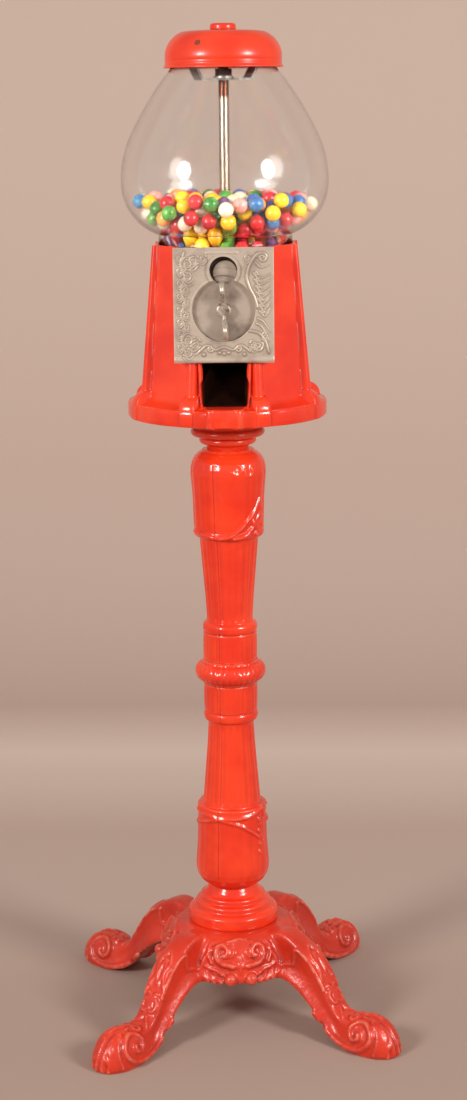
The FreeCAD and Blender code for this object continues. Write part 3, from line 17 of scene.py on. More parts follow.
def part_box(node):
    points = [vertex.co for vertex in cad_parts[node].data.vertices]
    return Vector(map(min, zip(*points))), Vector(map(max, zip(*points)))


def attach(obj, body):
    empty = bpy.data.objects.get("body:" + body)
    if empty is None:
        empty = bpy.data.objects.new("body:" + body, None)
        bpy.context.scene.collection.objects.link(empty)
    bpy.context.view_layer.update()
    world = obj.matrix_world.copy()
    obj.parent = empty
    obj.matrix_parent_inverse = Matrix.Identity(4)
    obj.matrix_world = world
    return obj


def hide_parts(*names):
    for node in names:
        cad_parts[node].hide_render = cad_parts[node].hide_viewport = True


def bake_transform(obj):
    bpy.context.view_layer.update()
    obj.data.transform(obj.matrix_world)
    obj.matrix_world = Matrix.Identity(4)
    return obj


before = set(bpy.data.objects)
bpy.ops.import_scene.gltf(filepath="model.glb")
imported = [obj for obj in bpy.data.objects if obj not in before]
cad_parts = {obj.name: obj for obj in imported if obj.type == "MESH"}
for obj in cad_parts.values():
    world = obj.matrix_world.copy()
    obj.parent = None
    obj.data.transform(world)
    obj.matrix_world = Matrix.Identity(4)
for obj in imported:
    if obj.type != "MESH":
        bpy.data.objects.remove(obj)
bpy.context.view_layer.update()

# %% [markdown]
# ## Working in millimetres
# The shapes are easier to read in millimetres, so they are worked out that way and turned into
# metres when a mesh is made. `span` reads where a CAD node sits, and `piece` hands a finished mesh to
# the frame: which body it rides on, which nodes it stands for and whose finish it takes.

# %% Units and meshes
MM = 0.001
MERGE_DISTANCE = 0.01 * MM


def span(node):
    """Lowest and highest corner of a CAD node, in millimetres."""
    low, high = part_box(node)
    return np.array(low) / MM, np.array(high) / MM


def heights(node):
    """Height of a CAD node's foot and top, in millimetres."""
    low, high = span(node)
    return low[2], high[2]


def smooth_step(value, low, high):
    """0 below low, 1 above high, smooth between."""
    share = np.clip((np.asarray(value, float) - low) / (high - low), 0, 1)
    return share * share * (3 - 2 * share)


def object_from(name, data):
    """An object in the scene that shows a mesh, light or camera."""
    obj = bpy.data.objects.new(name, data)
    bpy.context.scene.collection.objects.link(obj)
    return obj


def shade_smooth(mesh):
    mesh.polygons.foreach_set("use_smooth", [True] * len(mesh.polygons))


def mesh_object(name, points, faces):
    """A smooth-shaded object from points in millimetres."""
    mesh = bpy.data.meshes.new(name)
    mesh.from_pydata((np.asarray(points, float) * MM).tolist(), [], [tuple(face) for face in faces])
    shade_smooth(mesh)
    return object_from(name, mesh)


def tidy(obj):
    """Merge doubled points and turn the faces outwards."""
    work = bmesh.new()
    work.from_mesh(obj.data)
    bmesh.ops.remove_doubles(work, verts=work.verts, dist=MERGE_DISTANCE)
    bmesh.ops.recalc_face_normals(work, faces=work.faces)
    work.to_mesh(obj.data)
    work.free()
    shade_smooth(obj.data)
    return obj


def bake(obj):
    """Turn an object's modifiers into plain mesh."""
    evaluated = obj.evaluated_get(bpy.context.evaluated_depsgraph_get())
    mesh = bpy.data.meshes.new_from_object(evaluated)
    obj.modifiers.clear()
    obj.data = mesh
    return obj


def join(name, *parts):
    """Join plain mesh objects into one."""
    work = bmesh.new()
    for part in parts:
        work.from_mesh(part.data)
        bpy.data.objects.remove(part)
    mesh = bpy.data.meshes.new(name)
    work.to_mesh(mesh)
    work.free()
    shade_smooth(mesh)
    return object_from(name, mesh)


# %% Pieces and grids of points
def piece(obj, finish, body="machine", stands_for=()):
    """Give a finished mesh its material and its place in the frame."""
    obj.data.materials.clear()
    obj.data.materials.append(finish)
    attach(obj, body)
    if stands_for:
        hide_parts(*stands_for)
    print(f"{obj.name}: {len(obj.data.polygons)} faces on {body}")
    return obj


def grid_faces(rows, columns, wrap_rows=False, wrap_columns=False):
    """Quads over a grid of points that is stored row by row."""
    faces = []
    for i in range(rows if wrap_rows else rows - 1):
        for j in range(columns if wrap_columns else columns - 1):
            a, b = i * columns + j, i * columns + (j + 1) % columns
            c = ((i + 1) % rows) * columns + (j + 1) % columns
            d = ((i + 1) % rows) * columns + j
            faces.append((a, b, c, d))
    return faces


def closed_rows(name, rows):
    """A closed skin over rows of points; each row is a loop, and the two end loops are filled."""
    points = np.array(rows, float)
    count, total = points.shape[1], points.shape[0] * points.shape[1]
    faces = grid_faces(len(points), count, wrap_columns=True) + [range(count), range(total - count, total)]
    return tidy(mesh_object(name, points.reshape(-1, 3), faces))


def read_points(obj):
    points = np.empty(len(obj.data.vertices) * 3)
    obj.data.vertices.foreach_get("co", points)
    return points.reshape(-1, 3) / MM


def write_points(obj, points):
    obj.data.vertices.foreach_set("co", (points * MM).ravel())
    obj.data.update()


def turn_points(points, angle, axis, centre=0.0):
    """Turn points in the plane of X and one other axis, about a centre on that axis."""
    x, other = points[:, 0].copy(), points[:, axis] - centre
    points[:, 0] = x * math.cos(angle) - other * math.sin(angle)
    points[:, axis] = centre + x * math.sin(angle) + other * math.cos(angle)


# %% [markdown]
# ## Turned shapes
# Plinth, collar, cap, lid, knob and globe are bodies of revolution. A sharp outline would look like
# paper under studio light, so `rounded` first eases each corner with a small curve; the light then
# runs along the edge as it does on a painted casting.

# %% Outline and lathe
EASE_SHARE, EASE_LEAST = 0.45, 0.02  # most of a side that a corner may take up, and the shortest ease


def rounded(corners, ease, steps=5):
    """A closed outline of (radius, height) corners, each eased over that length."""
    points = np.array(corners, float)
    result = []
    for index, corner in enumerate(points):
        before, after = points[index - 1], points[(index + 1) % len(points)]
        reach = min(ease, *(EASE_SHARE * np.linalg.norm(end - corner) for end in (before, after)))
        if corner[0] < 1e-6 or reach < EASE_LEAST:
            result.append(corner)
            continue
        start = corner + (before - corner) / np.linalg.norm(before - corner) * reach
        end = corner + (after - corner) / np.linalg.norm(after - corner) * reach
        for t in np.linspace(0, 1, steps):
            result.append((1 - t) ** 2 * start + 2 * t * (1 - t) * corner + t * t * end)
    return np.array(result)


def bead(centre, size, first, last, count):
    """Outline of a rounded bead: points on an ellipse between two angles in degrees."""
    angles = np.radians(np.linspace(first, last, count))
    return [(centre[0] + size[0] * math.cos(a), centre[1] + size[1] * math.sin(a)) for a in angles]


def lathe(name, outline, segments=144):
    """Revolve a closed outline about Z."""
    angles = np.linspace(0, 2 * math.pi, segments, endpoint=False)
    radius, height = outline[:, 0], outline[:, 1]
    points = np.stack([np.outer(radius, np.cos(angles)), np.outer(radius, np.sin(angles)),
                       np.repeat(height[:, None], segments, axis=1)], axis=-1)
    faces = grid_faces(len(outline), segments, wrap_rows=True, wrap_columns=True)
    return tidy(mesh_object(name, points.reshape(-1, 3), faces))


# %% [markdown]
# ## Camera
# The camera's place was worked out from the photograph: the four feet on the floor and the round rims
# at known heights fix how far away and how high it stood. It looks slightly down, leans a little, and
# its frame is shifted by a few pixels.

# %% Camera
IMAGE_WIDTH, IMAGE_HEIGHT = 467, 1100
CAMERA_PLACE = Vector((0.0545, -1.934, 0.877))
CAMERA_PITCH, CAMERA_LEAN = math.radians(12.22), math.radians(-0.68)
FOCAL_PIXELS, AXIS_PIXEL = 2099, 229.1
SENSOR_WIDTH, CLIP_END = 36, 50

lens = bpy.data.cameras.new("camera")
lens.sensor_width, lens.clip_end = SENSOR_WIDTH, CLIP_END
lens.lens = FOCAL_PIXELS / IMAGE_HEIGHT * SENSOR_WIDTH
lens.shift_x = (IMAGE_WIDTH / 2 - AXIS_PIXEL) / IMAGE_HEIGHT
camera = object_from("camera", lens)
towards = Vector((-CAMERA_PLACE.x, -CAMERA_PLACE.y, 0)).normalized() * math.cos(CAMERA_PITCH)
towards.z = -math.sin(CAMERA_PITCH)
turn = towards.to_track_quat("-Z", "Y").to_matrix().to_4x4()
camera.matrix_world = Matrix.Translation(CAMERA_PLACE) @ turn @ Matrix.Rotation(CAMERA_LEAN, 4, "Z")
bpy.context.scene.camera = camera
print("lens", round(lens.lens, 1), "mm")

# %% [markdown]
# ## Building with nodes
# Materials and geometry trees are both graphs of nodes. These helpers add a node and set or link its
# inputs in one call, so that a finish further down reads like a recipe.

# %% Node helpers
def srgb(red, green, blue):
    """A colour as seen on screen, 0 to 255, as the linear numbers that shaders take."""
    values = [channel / 255 for channel in (red, green, blue)]
    linear = [v / 12.92 if v <= 0.04045 else ((v + 0.055) / 1.055) ** 2.4 for v in values]
    return (*linear, 1)


def set_inputs(tree, node, inputs):
    """Set a node's inputs; each may be a number, a colour or another node's output."""
    for name, value in inputs.items():
        if isinstance(value, bpy.types.NodeSocket):
            tree.links.new(value, node.inputs[name])
        else:
            node.inputs[name].default_value = value
    return node


def add_node(tree, kind, inputs=None, family="ShaderNode", **settings):
    """Add a node of a family by its short name, with its settings and inputs."""
    node = tree.nodes.new(family + kind)
    for name, value in settings.items():
        setattr(node, name, value)
    return set_inputs(tree, node, inputs or {})


def mix_colour(tree, share, first, second):
    """Mix two colours; the node has sockets for several types, so these are picked by number."""
    return add_node(tree, "Mix", {0: share, 6: first, 7: second}, data_type="RGBA").outputs[2]


def math_node(tree, operation, first, *others):
    """Apply an operation to values, two at a time from the left."""
    for other in others or (0.0,):
        first = add_node(tree, "Math", {0: first, 1: other}, operation=operation).outputs[0]
    return first


def object_place(tree):
    return add_node(tree, "TexCoord").outputs["Object"]


def noise(tree, where, scale, detail=2.0, roughness=0.5):
    inputs = {"Vector": where, "Scale": scale, "Detail": detail, "Roughness": roughness}
    return add_node(tree, "TexNoise", inputs).outputs["Fac"]


def ramp(tree, value, low, high):
    """0 below low, 1 above high, smooth between."""
    node = add_node(tree, "MapRange", {"Value": value, "From Min": low, "From Max": high},
                    interpolation_type="SMOOTHSTEP")
    return node.outputs["Result"]


def colour_stops(tree, value, stops):
    """Colour that runs through stops of (value, colour)."""
    first, last = stops[0][0], stops[-1][0]
    node = add_node(tree, "ValToRGB", {"Fac": ramp(tree, value, first, last)})
    elements = node.color_ramp.elements
    elements[0].color, elements[1].color = (*stops[0][1], 1), (*stops[-1][1], 1)
    for place, colour in stops[1:-1]:
        elements.new((place - first) / (last - first)).color = (*colour, 1)
    return node.outputs["Color"]


# %% Groups and finishes
def shader_group(name, inputs, outputs):
    """An empty node group with float inputs (name, default) and float outputs."""
    group = bpy.data.node_groups.new(name, "ShaderNodeTree")
    for label, default in inputs:
        socket = group.interface.new_socket(label, in_out="INPUT", socket_type="NodeSocketFloat")
        socket.default_value = default
    for label in outputs:
        group.interface.new_socket(label, in_out="OUTPUT", socket_type="NodeSocketFloat")
    return group, group.nodes.new("NodeGroupInput"), group.nodes.new("NodeGroupOutput")


def use_group(tree, group, **values):
    node = add_node(tree, "Group", node_tree=group)
    return set_inputs(tree, node, {label.replace("_", " "): value for label, value in values.items()})


def new_finish(name):
    finish = bpy.data.materials.new(name)
    finish.use_nodes = True
    return finish, finish.node_tree, finish.node_tree.nodes["Principled BSDF"]


def let_through(tree, shader, share, colour=(1, 1, 1, 1)):
    """Show the shader where share is 0, and let light pass where it is 1."""
    passing = add_node(tree, "BsdfTransparent", {"Color": colour}).outputs["BSDF"]
    choice = add_node(tree, "MixShader", {0: share, 1: shader.outputs["BSDF"], 2: passing})
    tree.links.new(choice.outputs["Shader"], tree.nodes["Material Output"].inputs["Surface"])


def set_bump(tree, shader, height, strength, distance=0.001):
    bump = add_node(tree, "Bump", {"Strength": strength, "Distance": distance, "Height": height})
    tree.links.new(bump.outputs["Normal"], shader.inputs["Normal"])


# %% [markdown]
# ## Floor and light
# A studio sweep is a floor that curves up into a wall, so no corner shows behind the machine. Its paint
# holds painted light and shade: the floor is darker towards the front, a pale band before the curve is
# painted light, and the curve is darker with painted shade. Its back lets light through, so that the
# machine can be seen from behind. Two soft lamps stand left and right at the height of the globe, as in
# the photograph, where both are mirrored in the glass; an even, dim surround fills in.

# %% Sweep and lamps
SWEEP_BACK, SWEEP_ROUND, SWEEP_WIDTH = 0.70, 0.35, 6.0
SWEEP_REACH, ROUND_STEPS = 5.0, 12
LAMP_SIZE, LAMP_WATTS, LAMP_COLOUR, LAMP_AIM = (0.50, 0.58), 24, (1, 0.96, 0.92), Vector((0, 0, 0.6))
WORLD_COLOUR, WORLD_STRENGTH = (1.0, 0.97, 0.94, 1), 0.45
# Paint of the sweep by distance back plus height, in metres: floor, darker towards the front; a pale
# band of painted light; the curve in painted shade; wall.
SWEEP_PAINT_WITH_LIGHT_AND_SHADE = ((-0.2, (0.40, 0.30, 0.25)), (0.05, (0.505, 0.395, 0.34)), (0.35, (0.535, 0.415, 0.36)),
               (0.6, (0.67, 0.545, 0.475)), (0.76, (0.68, 0.55, 0.48)), (0.96, (0.475, 0.353, 0.30)),
               (1.9, (0.62, 0.485, 0.415)))


def sweep():
    line = [(-SWEEP_REACH, 0.0)]
    for step in range(ROUND_STEPS + 1):
        angle = math.pi / 2 * step / ROUND_STEPS
        line.append((SWEEP_BACK + SWEEP_ROUND * math.sin(angle), SWEEP_ROUND * (1 - math.cos(angle))))
    line.append((SWEEP_BACK + SWEEP_ROUND, SWEEP_REACH))
    points = [(x * SWEEP_WIDTH / MM, y / MM, z / MM) for y, z in line for x in (-0.5, 0.5)]
    obj = mesh_object("studio_sweep", points, grid_faces(len(line), 2))
    paint, tree, shader = new_finish("studio_paint")
    parts = add_node(tree, "SeparateXYZ", {"Vector": object_place(tree)}).outputs
    along = math_node(tree, "ADD", parts["Y"], parts["Z"])
    # The colour runs through the stops: painted light on the band, painted shade on the curve.
    set_inputs(tree, shader, {"Base Color": colour_stops(tree, along, SWEEP_PAINT_WITH_LIGHT_AND_SHADE), "Roughness": 0.9,
                              "Specular IOR Level": 0.1})
    let_through(tree, shader, add_node(tree, "NewGeometry").outputs["Backfacing"])
    obj.data.materials.append(paint)


def lamp(name, place):
    light = bpy.data.lights.new(name, "AREA")
    light.shape, light.size, light.size_y = "ELLIPSE", *LAMP_SIZE
    light.energy, light.color = LAMP_WATTS, LAMP_COLOUR
    direction = LAMP_AIM - Vector(place)
    turn = direction.to_track_quat("-Z", "Y").to_matrix().to_4x4()
    object_from(name, light).matrix_world = Matrix.Translation(place) @ turn


sweep()
lamp("lamp_left", (-1.28, -1.36, 1.18))
lamp("lamp_right", (1.40, -1.18, 1.18))
world = bpy.data.worlds.new("studio")
bpy.context.scene.world = world
world.use_nodes = True
set_inputs(world.node_tree, world.node_tree.nodes["Background"],
           {"Color": WORLD_COLOUR, "Strength": WORLD_STRENGTH})
bpy.context.scene.view_settings.view_transform = "Standard"
print("sweep, two lamps and a surround")

# %% [markdown]
# ## Finishes
# Every finish is made of nodes on object coordinates, so nothing depends on how a mesh is unwrapped.
# Effects that several finishes share are node groups: `casting_skin` gives the lumps and grain of a
# poured surface, `worn_spots` marks chips, a third group darkens the hollows and grooves with grime and
# with painted shade, and `rubbed_ridges` the high places where paint has gone thin.

# %% Shared effects
GRAIN_SCALE = 900.0
CHIP_LIMIT, CHIP_SHARE, CHIP_EDGE_SHARE = 0.86, 0.2, 0.12


def make_casting_skin():
    """Height of a poured and painted surface: broad lumps and a fine grain."""
    inputs = [("Lump scale", 90), ("Lumps", 1), ("Grain", 0.2)]
    group, given, result = shader_group("casting_skin", inputs, ["Height"])
    where = object_place(group)
    lumps, grain = noise(group, where, given.outputs["Lump scale"]), noise(group, where, GRAIN_SCALE, 3.0)
    height = math_node(group, "ADD", math_node(group, "MULTIPLY", lumps, given.outputs["Lumps"]),
                       math_node(group, "MULTIPLY", grain, given.outputs["Grain"]))
    group.links.new(height, result.inputs["Height"])
    return group


def make_worn_spots():
    """Mask of small chips, more of them on sharp edges; a larger amount gives more."""
    group, given, result = shader_group("worn_spots", [("Spot scale", 120), ("Amount", 0.3)], ["Mask"])
    spots = noise(group, object_place(group), given.outputs["Spot scale"], 4.0, 0.65)
    sharp = ramp(group, add_node(group, "NewGeometry").outputs["Pointiness"], 0.5, 0.62)
    level = math_node(group, "ADD", spots, math_node(group, "MULTIPLY", sharp, CHIP_EDGE_SHARE))
    more = math_node(group, "MULTIPLY", given.outputs["Amount"], CHIP_SHARE)
    limit = math_node(group, "SUBTRACT", CHIP_LIMIT, more)
    group.links.new(ramp(group, math_node(group, "SUBTRACT", level, limit), 0.0, 0.02), result.inputs["Mask"])
    return group


def make_cloudy_mask(name, cloud_scale, turn, low, high):
    """Mask of hollows (turn -1) or ridges (turn 1), broken up by a cloudy pattern."""
    group, given, result = shader_group(name, [("Amount", 0.4)], ["Mask"])
    patch = ramp(group, noise(group, object_place(group), cloud_scale, 5.0, 0.6), 0.36, 0.62)
    bend = math_node(group, "SUBTRACT", add_node(group, "NewGeometry").outputs["Pointiness"], 0.5)
    shape = ramp(group, math_node(group, "MULTIPLY", bend, turn), low, high)
    mask = math_node(group, "MULTIPLY", patch, shape, given.outputs["Amount"])
    group.links.new(mask, result.inputs["Mask"])
    return group


CASTING_SKIN, WORN_SPOTS = make_casting_skin(), make_worn_spots()
# Hollows and grooves: this mask darkens them with grime and with painted shade.
GRIME_AND_CREASE_SHADE = make_cloudy_mask("settled_grime", 60.0, -1.0, 0.006, 0.05)
RUBBED_RIDGES = make_cloudy_mask("rubbed_ridges", 150.0, 1.0, 0.01, 0.05)
print("shared effects:", [group.name for group in bpy.data.node_groups])

# %% [markdown]
# ## Red enamel
# One red covers the pedestal, the body and the lid, but not in one way. The body is a smooth, later
# coat. The column has runs and a few dark flecks, and on the legs many thick coats lie over a rough
# casting, with pale rubbed ridges and chips on the feet. The legs' red is darker: a duller coat, and
# painted shade near the floor. On every part the hollows and grooves are darker, with grime and with
# painted shade.

# %% Enamel
ENAMEL_TONES = (srgb(230, 46, 20), srgb(248, 66, 29))
# Colours laid over the red: grime and painted shade in hollows and grooves, pale rubbed ridges, bare iron in
# chips.
GRIME_AND_SHADE, RUBBED, BARE_IRON = srgb(104, 24, 14), srgb(230, 136, 110), srgb(128, 58, 36)
# A darker red for the legs: a duller coat, and painted shade near the floor.
LEG_DULL_AND_SHADED_TONES = (srgb(196, 41, 21), srgb(224, 56, 28))
LID_CHIP, CHIP_RADIUS, CHIP_RAGGED = (-0.0215, -0.0452, 0.923), 0.0032, 0.001
TONE_SCALE, CHIP_SCALE, WEAR_DULLS = 22.0, 140, 0.4


def chip_mask(tree, where, middle):
    """One large chip with a ragged edge."""
    away = add_node(tree, "VectorMath", {0: where, 1: middle}, operation="DISTANCE").outputs["Value"]
    ragged = math_node(tree, "MULTIPLY", noise(tree, where, 500.0), 2 * CHIP_RAGGED)
    edge = math_node(tree, "ADD", away, ragged)
    return ramp(tree, math_node(tree, "SUBTRACT", CHIP_RADIUS + CHIP_RAGGED, edge), 0.0, 0.0004)


def enamel(name, lumps, lump_scale, grime_and_shade, rubbed, chips, roughness, scar=None, tones=ENAMEL_TONES):
    """Red enamel; scar is the middle of one large chip."""
    finish, tree, shader = new_finish(name)
    where = object_place(tree)
    colour = mix_colour(tree, ramp(tree, noise(tree, where, TONE_SCALE, 3.0), 0.3, 0.7), *tones)
    # Hollows and grooves darken with grime and with painted shade.
    dirt_and_shade = use_group(tree, GRIME_AND_CREASE_SHADE, Amount=grime_and_shade).outputs["Mask"]
    thin = use_group(tree, RUBBED_RIDGES, Amount=rubbed).outputs["Mask"]
    chipped = use_group(tree, WORN_SPOTS, Amount=chips, Spot_scale=CHIP_SCALE).outputs["Mask"]
    if scar:
        chipped = math_node(tree, "MAXIMUM", chipped, chip_mask(tree, where, scar))
    for mask, under in ((dirt_and_shade, GRIME_AND_SHADE), (thin, RUBBED), (chipped, BARE_IRON)):
        colour = mix_colour(tree, mask, colour, under)
    dull = math_node(tree, "MULTIPLY", math_node(tree, "ADD", dirt_and_shade, thin, chipped), WEAR_DULLS)
    set_inputs(tree, shader, {"Base Color": colour, "Roughness": math_node(tree, "ADD", dull, roughness),
                              "Coat Weight": 0.3, "Coat Roughness": roughness * 0.4})
    skin = use_group(tree, CASTING_SKIN, Lumps=1.0, Lump_scale=lump_scale, Grain=0.12)
    set_bump(tree, shader, skin.outputs["Height"], lumps)
    return finish


BODY_ENAMEL = enamel("body_enamel", 0.20, 60, 0.35, 0.15, 0.06, 0.22)
COLUMN_ENAMEL = enamel("column_enamel", 0.50, 90, 0.4, 0.35, 0.20, 0.20)
LEG_ENAMEL = enamel("leg_enamel", 0.8, 150, 0.95, 0.8, 0.36, 0.32, tones=LEG_DULL_AND_SHADED_TONES)
LID_ENAMEL = enamel("lid_enamel", 0.10, 40, 0.3, 0.1, 0.10, 0.32, LID_CHIP)

# %% [markdown]
# ## Bare metals
# The coin plate is cast zinc that has gone grey, with darker, slightly brown clouds where hands and
# damp have been, and its relief is darker beside the raised strokes, with grime and with painted shade.
# Steel, brass and aluminium inside use the same recipe with other numbers; the chute and the tray behind
# the coin hole are nearly black, which is painted shade inside the body. Threads are only a ripple along
# the axis, so they are a bump and not geometry.

# %% Metals
# The first colour darkens the plate's hollows beside its relief: grime and painted shade.
PLATE_GRIME_AND_SHADE, RUST, RUST_FADE = srgb(112, 96, 86), srgb(104, 58, 38), 0.003
STAIN_FROM, STAIN_FULL, STAIN_DULLS = 0.42, 0.70, 0.16


def bare_metal(name, bright, stained, roughness, stain_scale=60, polish=1.0, grain=0.3, thread=0.0,
               grime_and_shade_layer=None, rust_above=None):
    """Metal with clouds of stain; the layer argument names a mesh attribute that marks hollows to darken with
    grime and painted shade.
    """
    finish, tree, shader = new_finish(name)
    where = object_place(tree)
    stain = ramp(tree, noise(tree, where, stain_scale, 5.0, 0.6), STAIN_FROM, STAIN_FULL)
    colour = mix_colour(tree, stain, bright, stained)
    if grime_and_shade_layer:
        # The marked hollows darken with grime and with painted shade.
        hollow = add_node(tree, "Attribute", attribute_name=grime_and_shade_layer).outputs["Fac"]
        colour = mix_colour(tree, hollow, colour, PLATE_GRIME_AND_SHADE)
    if rust_above:
        height = add_node(tree, "SeparateXYZ", {"Vector": where}).outputs["Z"]
        colour = mix_colour(tree, ramp(tree, height, rust_above, rust_above + RUST_FADE), colour, RUST)
    rough = math_node(tree, "ADD", math_node(tree, "MULTIPLY", stain, STAIN_DULLS), roughness)
    set_inputs(tree, shader, {"Base Color": colour, "Roughness": rough, "Metallic": polish})
    height = use_group(tree, CASTING_SKIN, Lumps=0.6, Lump_scale=220, Grain=0.5).outputs["Height"]
    if thread:
        turns = add_node(tree, "TexWave", {"Vector": where, "Scale": thread}, wave_type="BANDS",
                         bands_direction="Z")
        height = math_node(tree, "ADD", height, turns.outputs["Fac"])
    set_bump(tree, shader, height, grain)
    return finish


ZINC = bare_metal("plate_zinc", srgb(196, 180, 164), srgb(160, 143, 130), 0.48, 45, 0.35, 0.2)
WHEEL_ZINC = bare_metal("coin_wheel_zinc", srgb(188, 172, 157), srgb(134, 116, 106), 0.45, 30, 0.4, 0.12)
RELIEF_ZINC = bare_metal("relief_zinc", srgb(204, 187, 170), srgb(170, 152, 138), 0.42, 45, 0.45, 0.2,
                         grime_and_shade_layer="hollows")
HANDLE_ZINC = bare_metal("handle_zinc", srgb(200, 186, 170), srgb(110, 92, 80), 0.40, 110, 0.6, 0.12)
STEEL = bare_metal("plain_steel", srgb(168, 165, 160), srgb(120, 112, 104), 0.34, 90, 1.0, 0.15)
BAR_STEEL = bare_metal("bar_steel", srgb(112, 104, 97), srgb(80, 70, 63), 0.5, 60, 0.5, 0.2)
ROD_STEEL = bare_metal("rod_steel", srgb(196, 176, 158), srgb(118, 84, 64), 0.17, 24, 1.0, 0.12, 320,
                       rust_above=0.874)
DARK_STEEL = bare_metal("dark_steel", srgb(52, 48, 45), srgb(30, 27, 25), 0.45, 90, 0.8, 0.2)
# Nearly black: painted shade inside the chute.
CHUTE_SHADED_STEEL = bare_metal("chute_steel", srgb(44, 24, 18), srgb(28, 15, 12), 0.7, 60, 1.0, 0.2)
# Dark: painted shade behind the coin hole.
TRAY_SHADED_ZINC = bare_metal("tray_zinc", srgb(72, 58, 50), srgb(48, 38, 33), 0.6, 60, 0.3, 0.2)
BRASS = bare_metal("bush_brass", srgb(190, 150, 82), srgb(140, 105, 60), 0.30, 90, 1.0, 0.1)
ALUMINIUM = bare_metal("hopper_aluminium", srgb(190, 190, 190), srgb(150, 148, 146), 0.45, 60, 0.9, 0.3)

# %% [markdown]
# ## Glass, gum, rubber and plastic
# The globe is a real wall of glass. Light rays that only ask whether a lamp is hidden pass straight
# through it, because a renderer would otherwise leave the gumballs in the dark. The gumballs have a
# sugar shell: glossy, a little uneven in colour and in surface.

# %% Clear and coloured finishes
def clear_glass():
    finish, tree, shader = new_finish("globe_glass")
    set_inputs(tree, shader, {"Base Color": (0.995, 1, 0.997, 1), "Roughness": 0.075, "IOR": 1.48,
                              "Transmission Weight": 1.0})
    let_through(tree, shader, add_node(tree, "LightPath").outputs["Is Shadow Ray"], (0.97, 0.98, 0.97, 1))
    return finish


def plain_finish(name, colour, second, roughness, bump, scale=160, coat=0.0):
    """A moulded or coated finish with a slight change of colour over the surface."""
    finish, tree, shader = new_finish(name)
    share = ramp(tree, noise(tree, object_place(tree), scale, 3.0), 0.35, 0.7)
    rough = math_node(tree, "ADD", math_node(tree, "MULTIPLY", share, 0.08), roughness)
    set_inputs(tree, shader, {"Base Color": mix_colour(tree, share, colour, second), "Roughness": rough,
                              "Coat Weight": coat, "Coat IOR": 1.8, "Coat Roughness": 0.04})
    skin = use_group(tree, CASTING_SKIN, Lumps=1.0, Lump_scale=scale * 2, Grain=0.1)
    set_bump(tree, shader, skin.outputs["Height"], bump)
    return finish


GLASS = clear_glass()
RUBBER = plain_finish("gasket_rubber", srgb(38, 36, 35), srgb(52, 50, 48), 0.7, 0.2)
WHEEL_PLASTIC = plain_finish("wheel_plastic", srgb(226, 222, 208), srgb(206, 200, 184), 0.45, 0.1)
GUM_COLOURS = {
    "red": (srgb(214, 44, 50), srgb(172, 24, 40)),
    "orange": (srgb(248, 120, 36), srgb(252, 176, 84)),
    "yellow": (srgb(252, 206, 36), srgb(246, 184, 30)),
    "green": (srgb(30, 104, 46), srgb(110, 184, 72)),
    "blue": (srgb(40, 128, 172), srgb(64, 92, 164)),
    "white": (srgb(240, 230, 204), srgb(236, 196, 158)),
    "pink": (srgb(242, 140, 132), srgb(248, 184, 172)),
    "purple": (srgb(88, 54, 92), srgb(126, 90, 128)),
}
GUM = {label: plain_finish("gum_" + label, *pair, 0.16, 0.08, 60, 0.8) for label, pair in GUM_COLOURS.items()}
print("finishes:", len(bpy.data.materials))

# %% [markdown]
# ## Raised ornament
# All cast ornament here is drawn the same way: as strokes. A stroke is a line with a width and a
# height, and the surface rises under it like a cord that lies on the casting. `spiral` and
# `curve_through` draw the lines, and `relief` adds up what a set of strokes does at many points.

# %% Strokes
class Stroke:
    """A raised cord along a line; a taper of 1 thins it to nothing at its far end."""

    def __init__(self, line, width, height, taper=0.0):
        self.line = np.array(line, float)
        self.width, self.height, self.taper = width, height, taper


def curve_through(points, steps=7):
    """A smooth line through the given points."""
    points = np.array(points, float)
    padded = np.vstack([2 * points[0] - points[1], points, 2 * points[-1] - points[-2]])
    line = []
    for a, b, c, d in zip(padded, padded[1:], padded[2:], padded[3:]):
        for t in np.linspace(0, 1, steps, endpoint=False):
            line.append(b + 0.5 * t * (c - a + t * (2 * a - 5 * b + 4 * c - d + t * (3 * (b - c) + d - a))))
    return np.array(line + [points[-1]])


def spiral(centre, outer, inner, turns, start, steps_per_turn=22):
    """A line that winds inwards; start is the angle of its outer end in degrees."""
    share = np.linspace(0, 1, max(6, int(abs(turns) * steps_per_turn)))
    angle = math.radians(start) + 2 * math.pi * turns * share
    radius = outer + (inner - outer) * share
    return np.stack([centre[0] + radius * np.cos(angle), centre[1] + radius * np.sin(angle)], axis=1)


def distance_to(points, line):
    """Distance from each point to a line, and how far along the line (0 to 1) that is."""
    best, along = np.full(len(points), np.inf), np.zeros(len(points))
    lengths = np.linalg.norm(np.diff(line, axis=0), axis=1)
    ends = np.concatenate([[0], np.cumsum(lengths)]) / max(lengths.sum(), 1e-9)
    for index, (start, end) in enumerate(zip(line, line[1:])):
        step = end - start
        share = np.clip((points - start) @ step / max(step @ step, 1e-12), 0, 1)
        distance = np.linalg.norm(points - start - share[:, None] * step, axis=1)
        closer = distance < best
        best[closer] = distance[closer]
        along[closer] = (ends[index] + share * (ends[index + 1] - ends[index]))[closer]
    return best, along


def relief(points, strokes):
    """Height of the highest stroke at each flat point."""
    height = np.zeros(len(points))
    for stroke in strokes:
        low, high = stroke.line.min(0) - stroke.width, stroke.line.max(0) + stroke.width
        near = np.flatnonzero(np.all((points > low) & (points < high), axis=1))
        if len(near) == 0:
            continue
        distance, along = distance_to(points[near], stroke.line)
        thin = 1 - stroke.taper * along
        rise = np.clip(1 - (distance / np.maximum(stroke.width * thin, 1e-6)) ** 2, 0, 1) ** 0.8
        height[near] = np.maximum(height[near], stroke.height * np.sqrt(np.clip(thin, 0, 1)) * rise)
    return height


def dots(places, radius, height):
    """Round bosses as very short strokes."""
    return [Stroke([place, (place[0] + 0.01, place[1])], radius, height) for place in places]


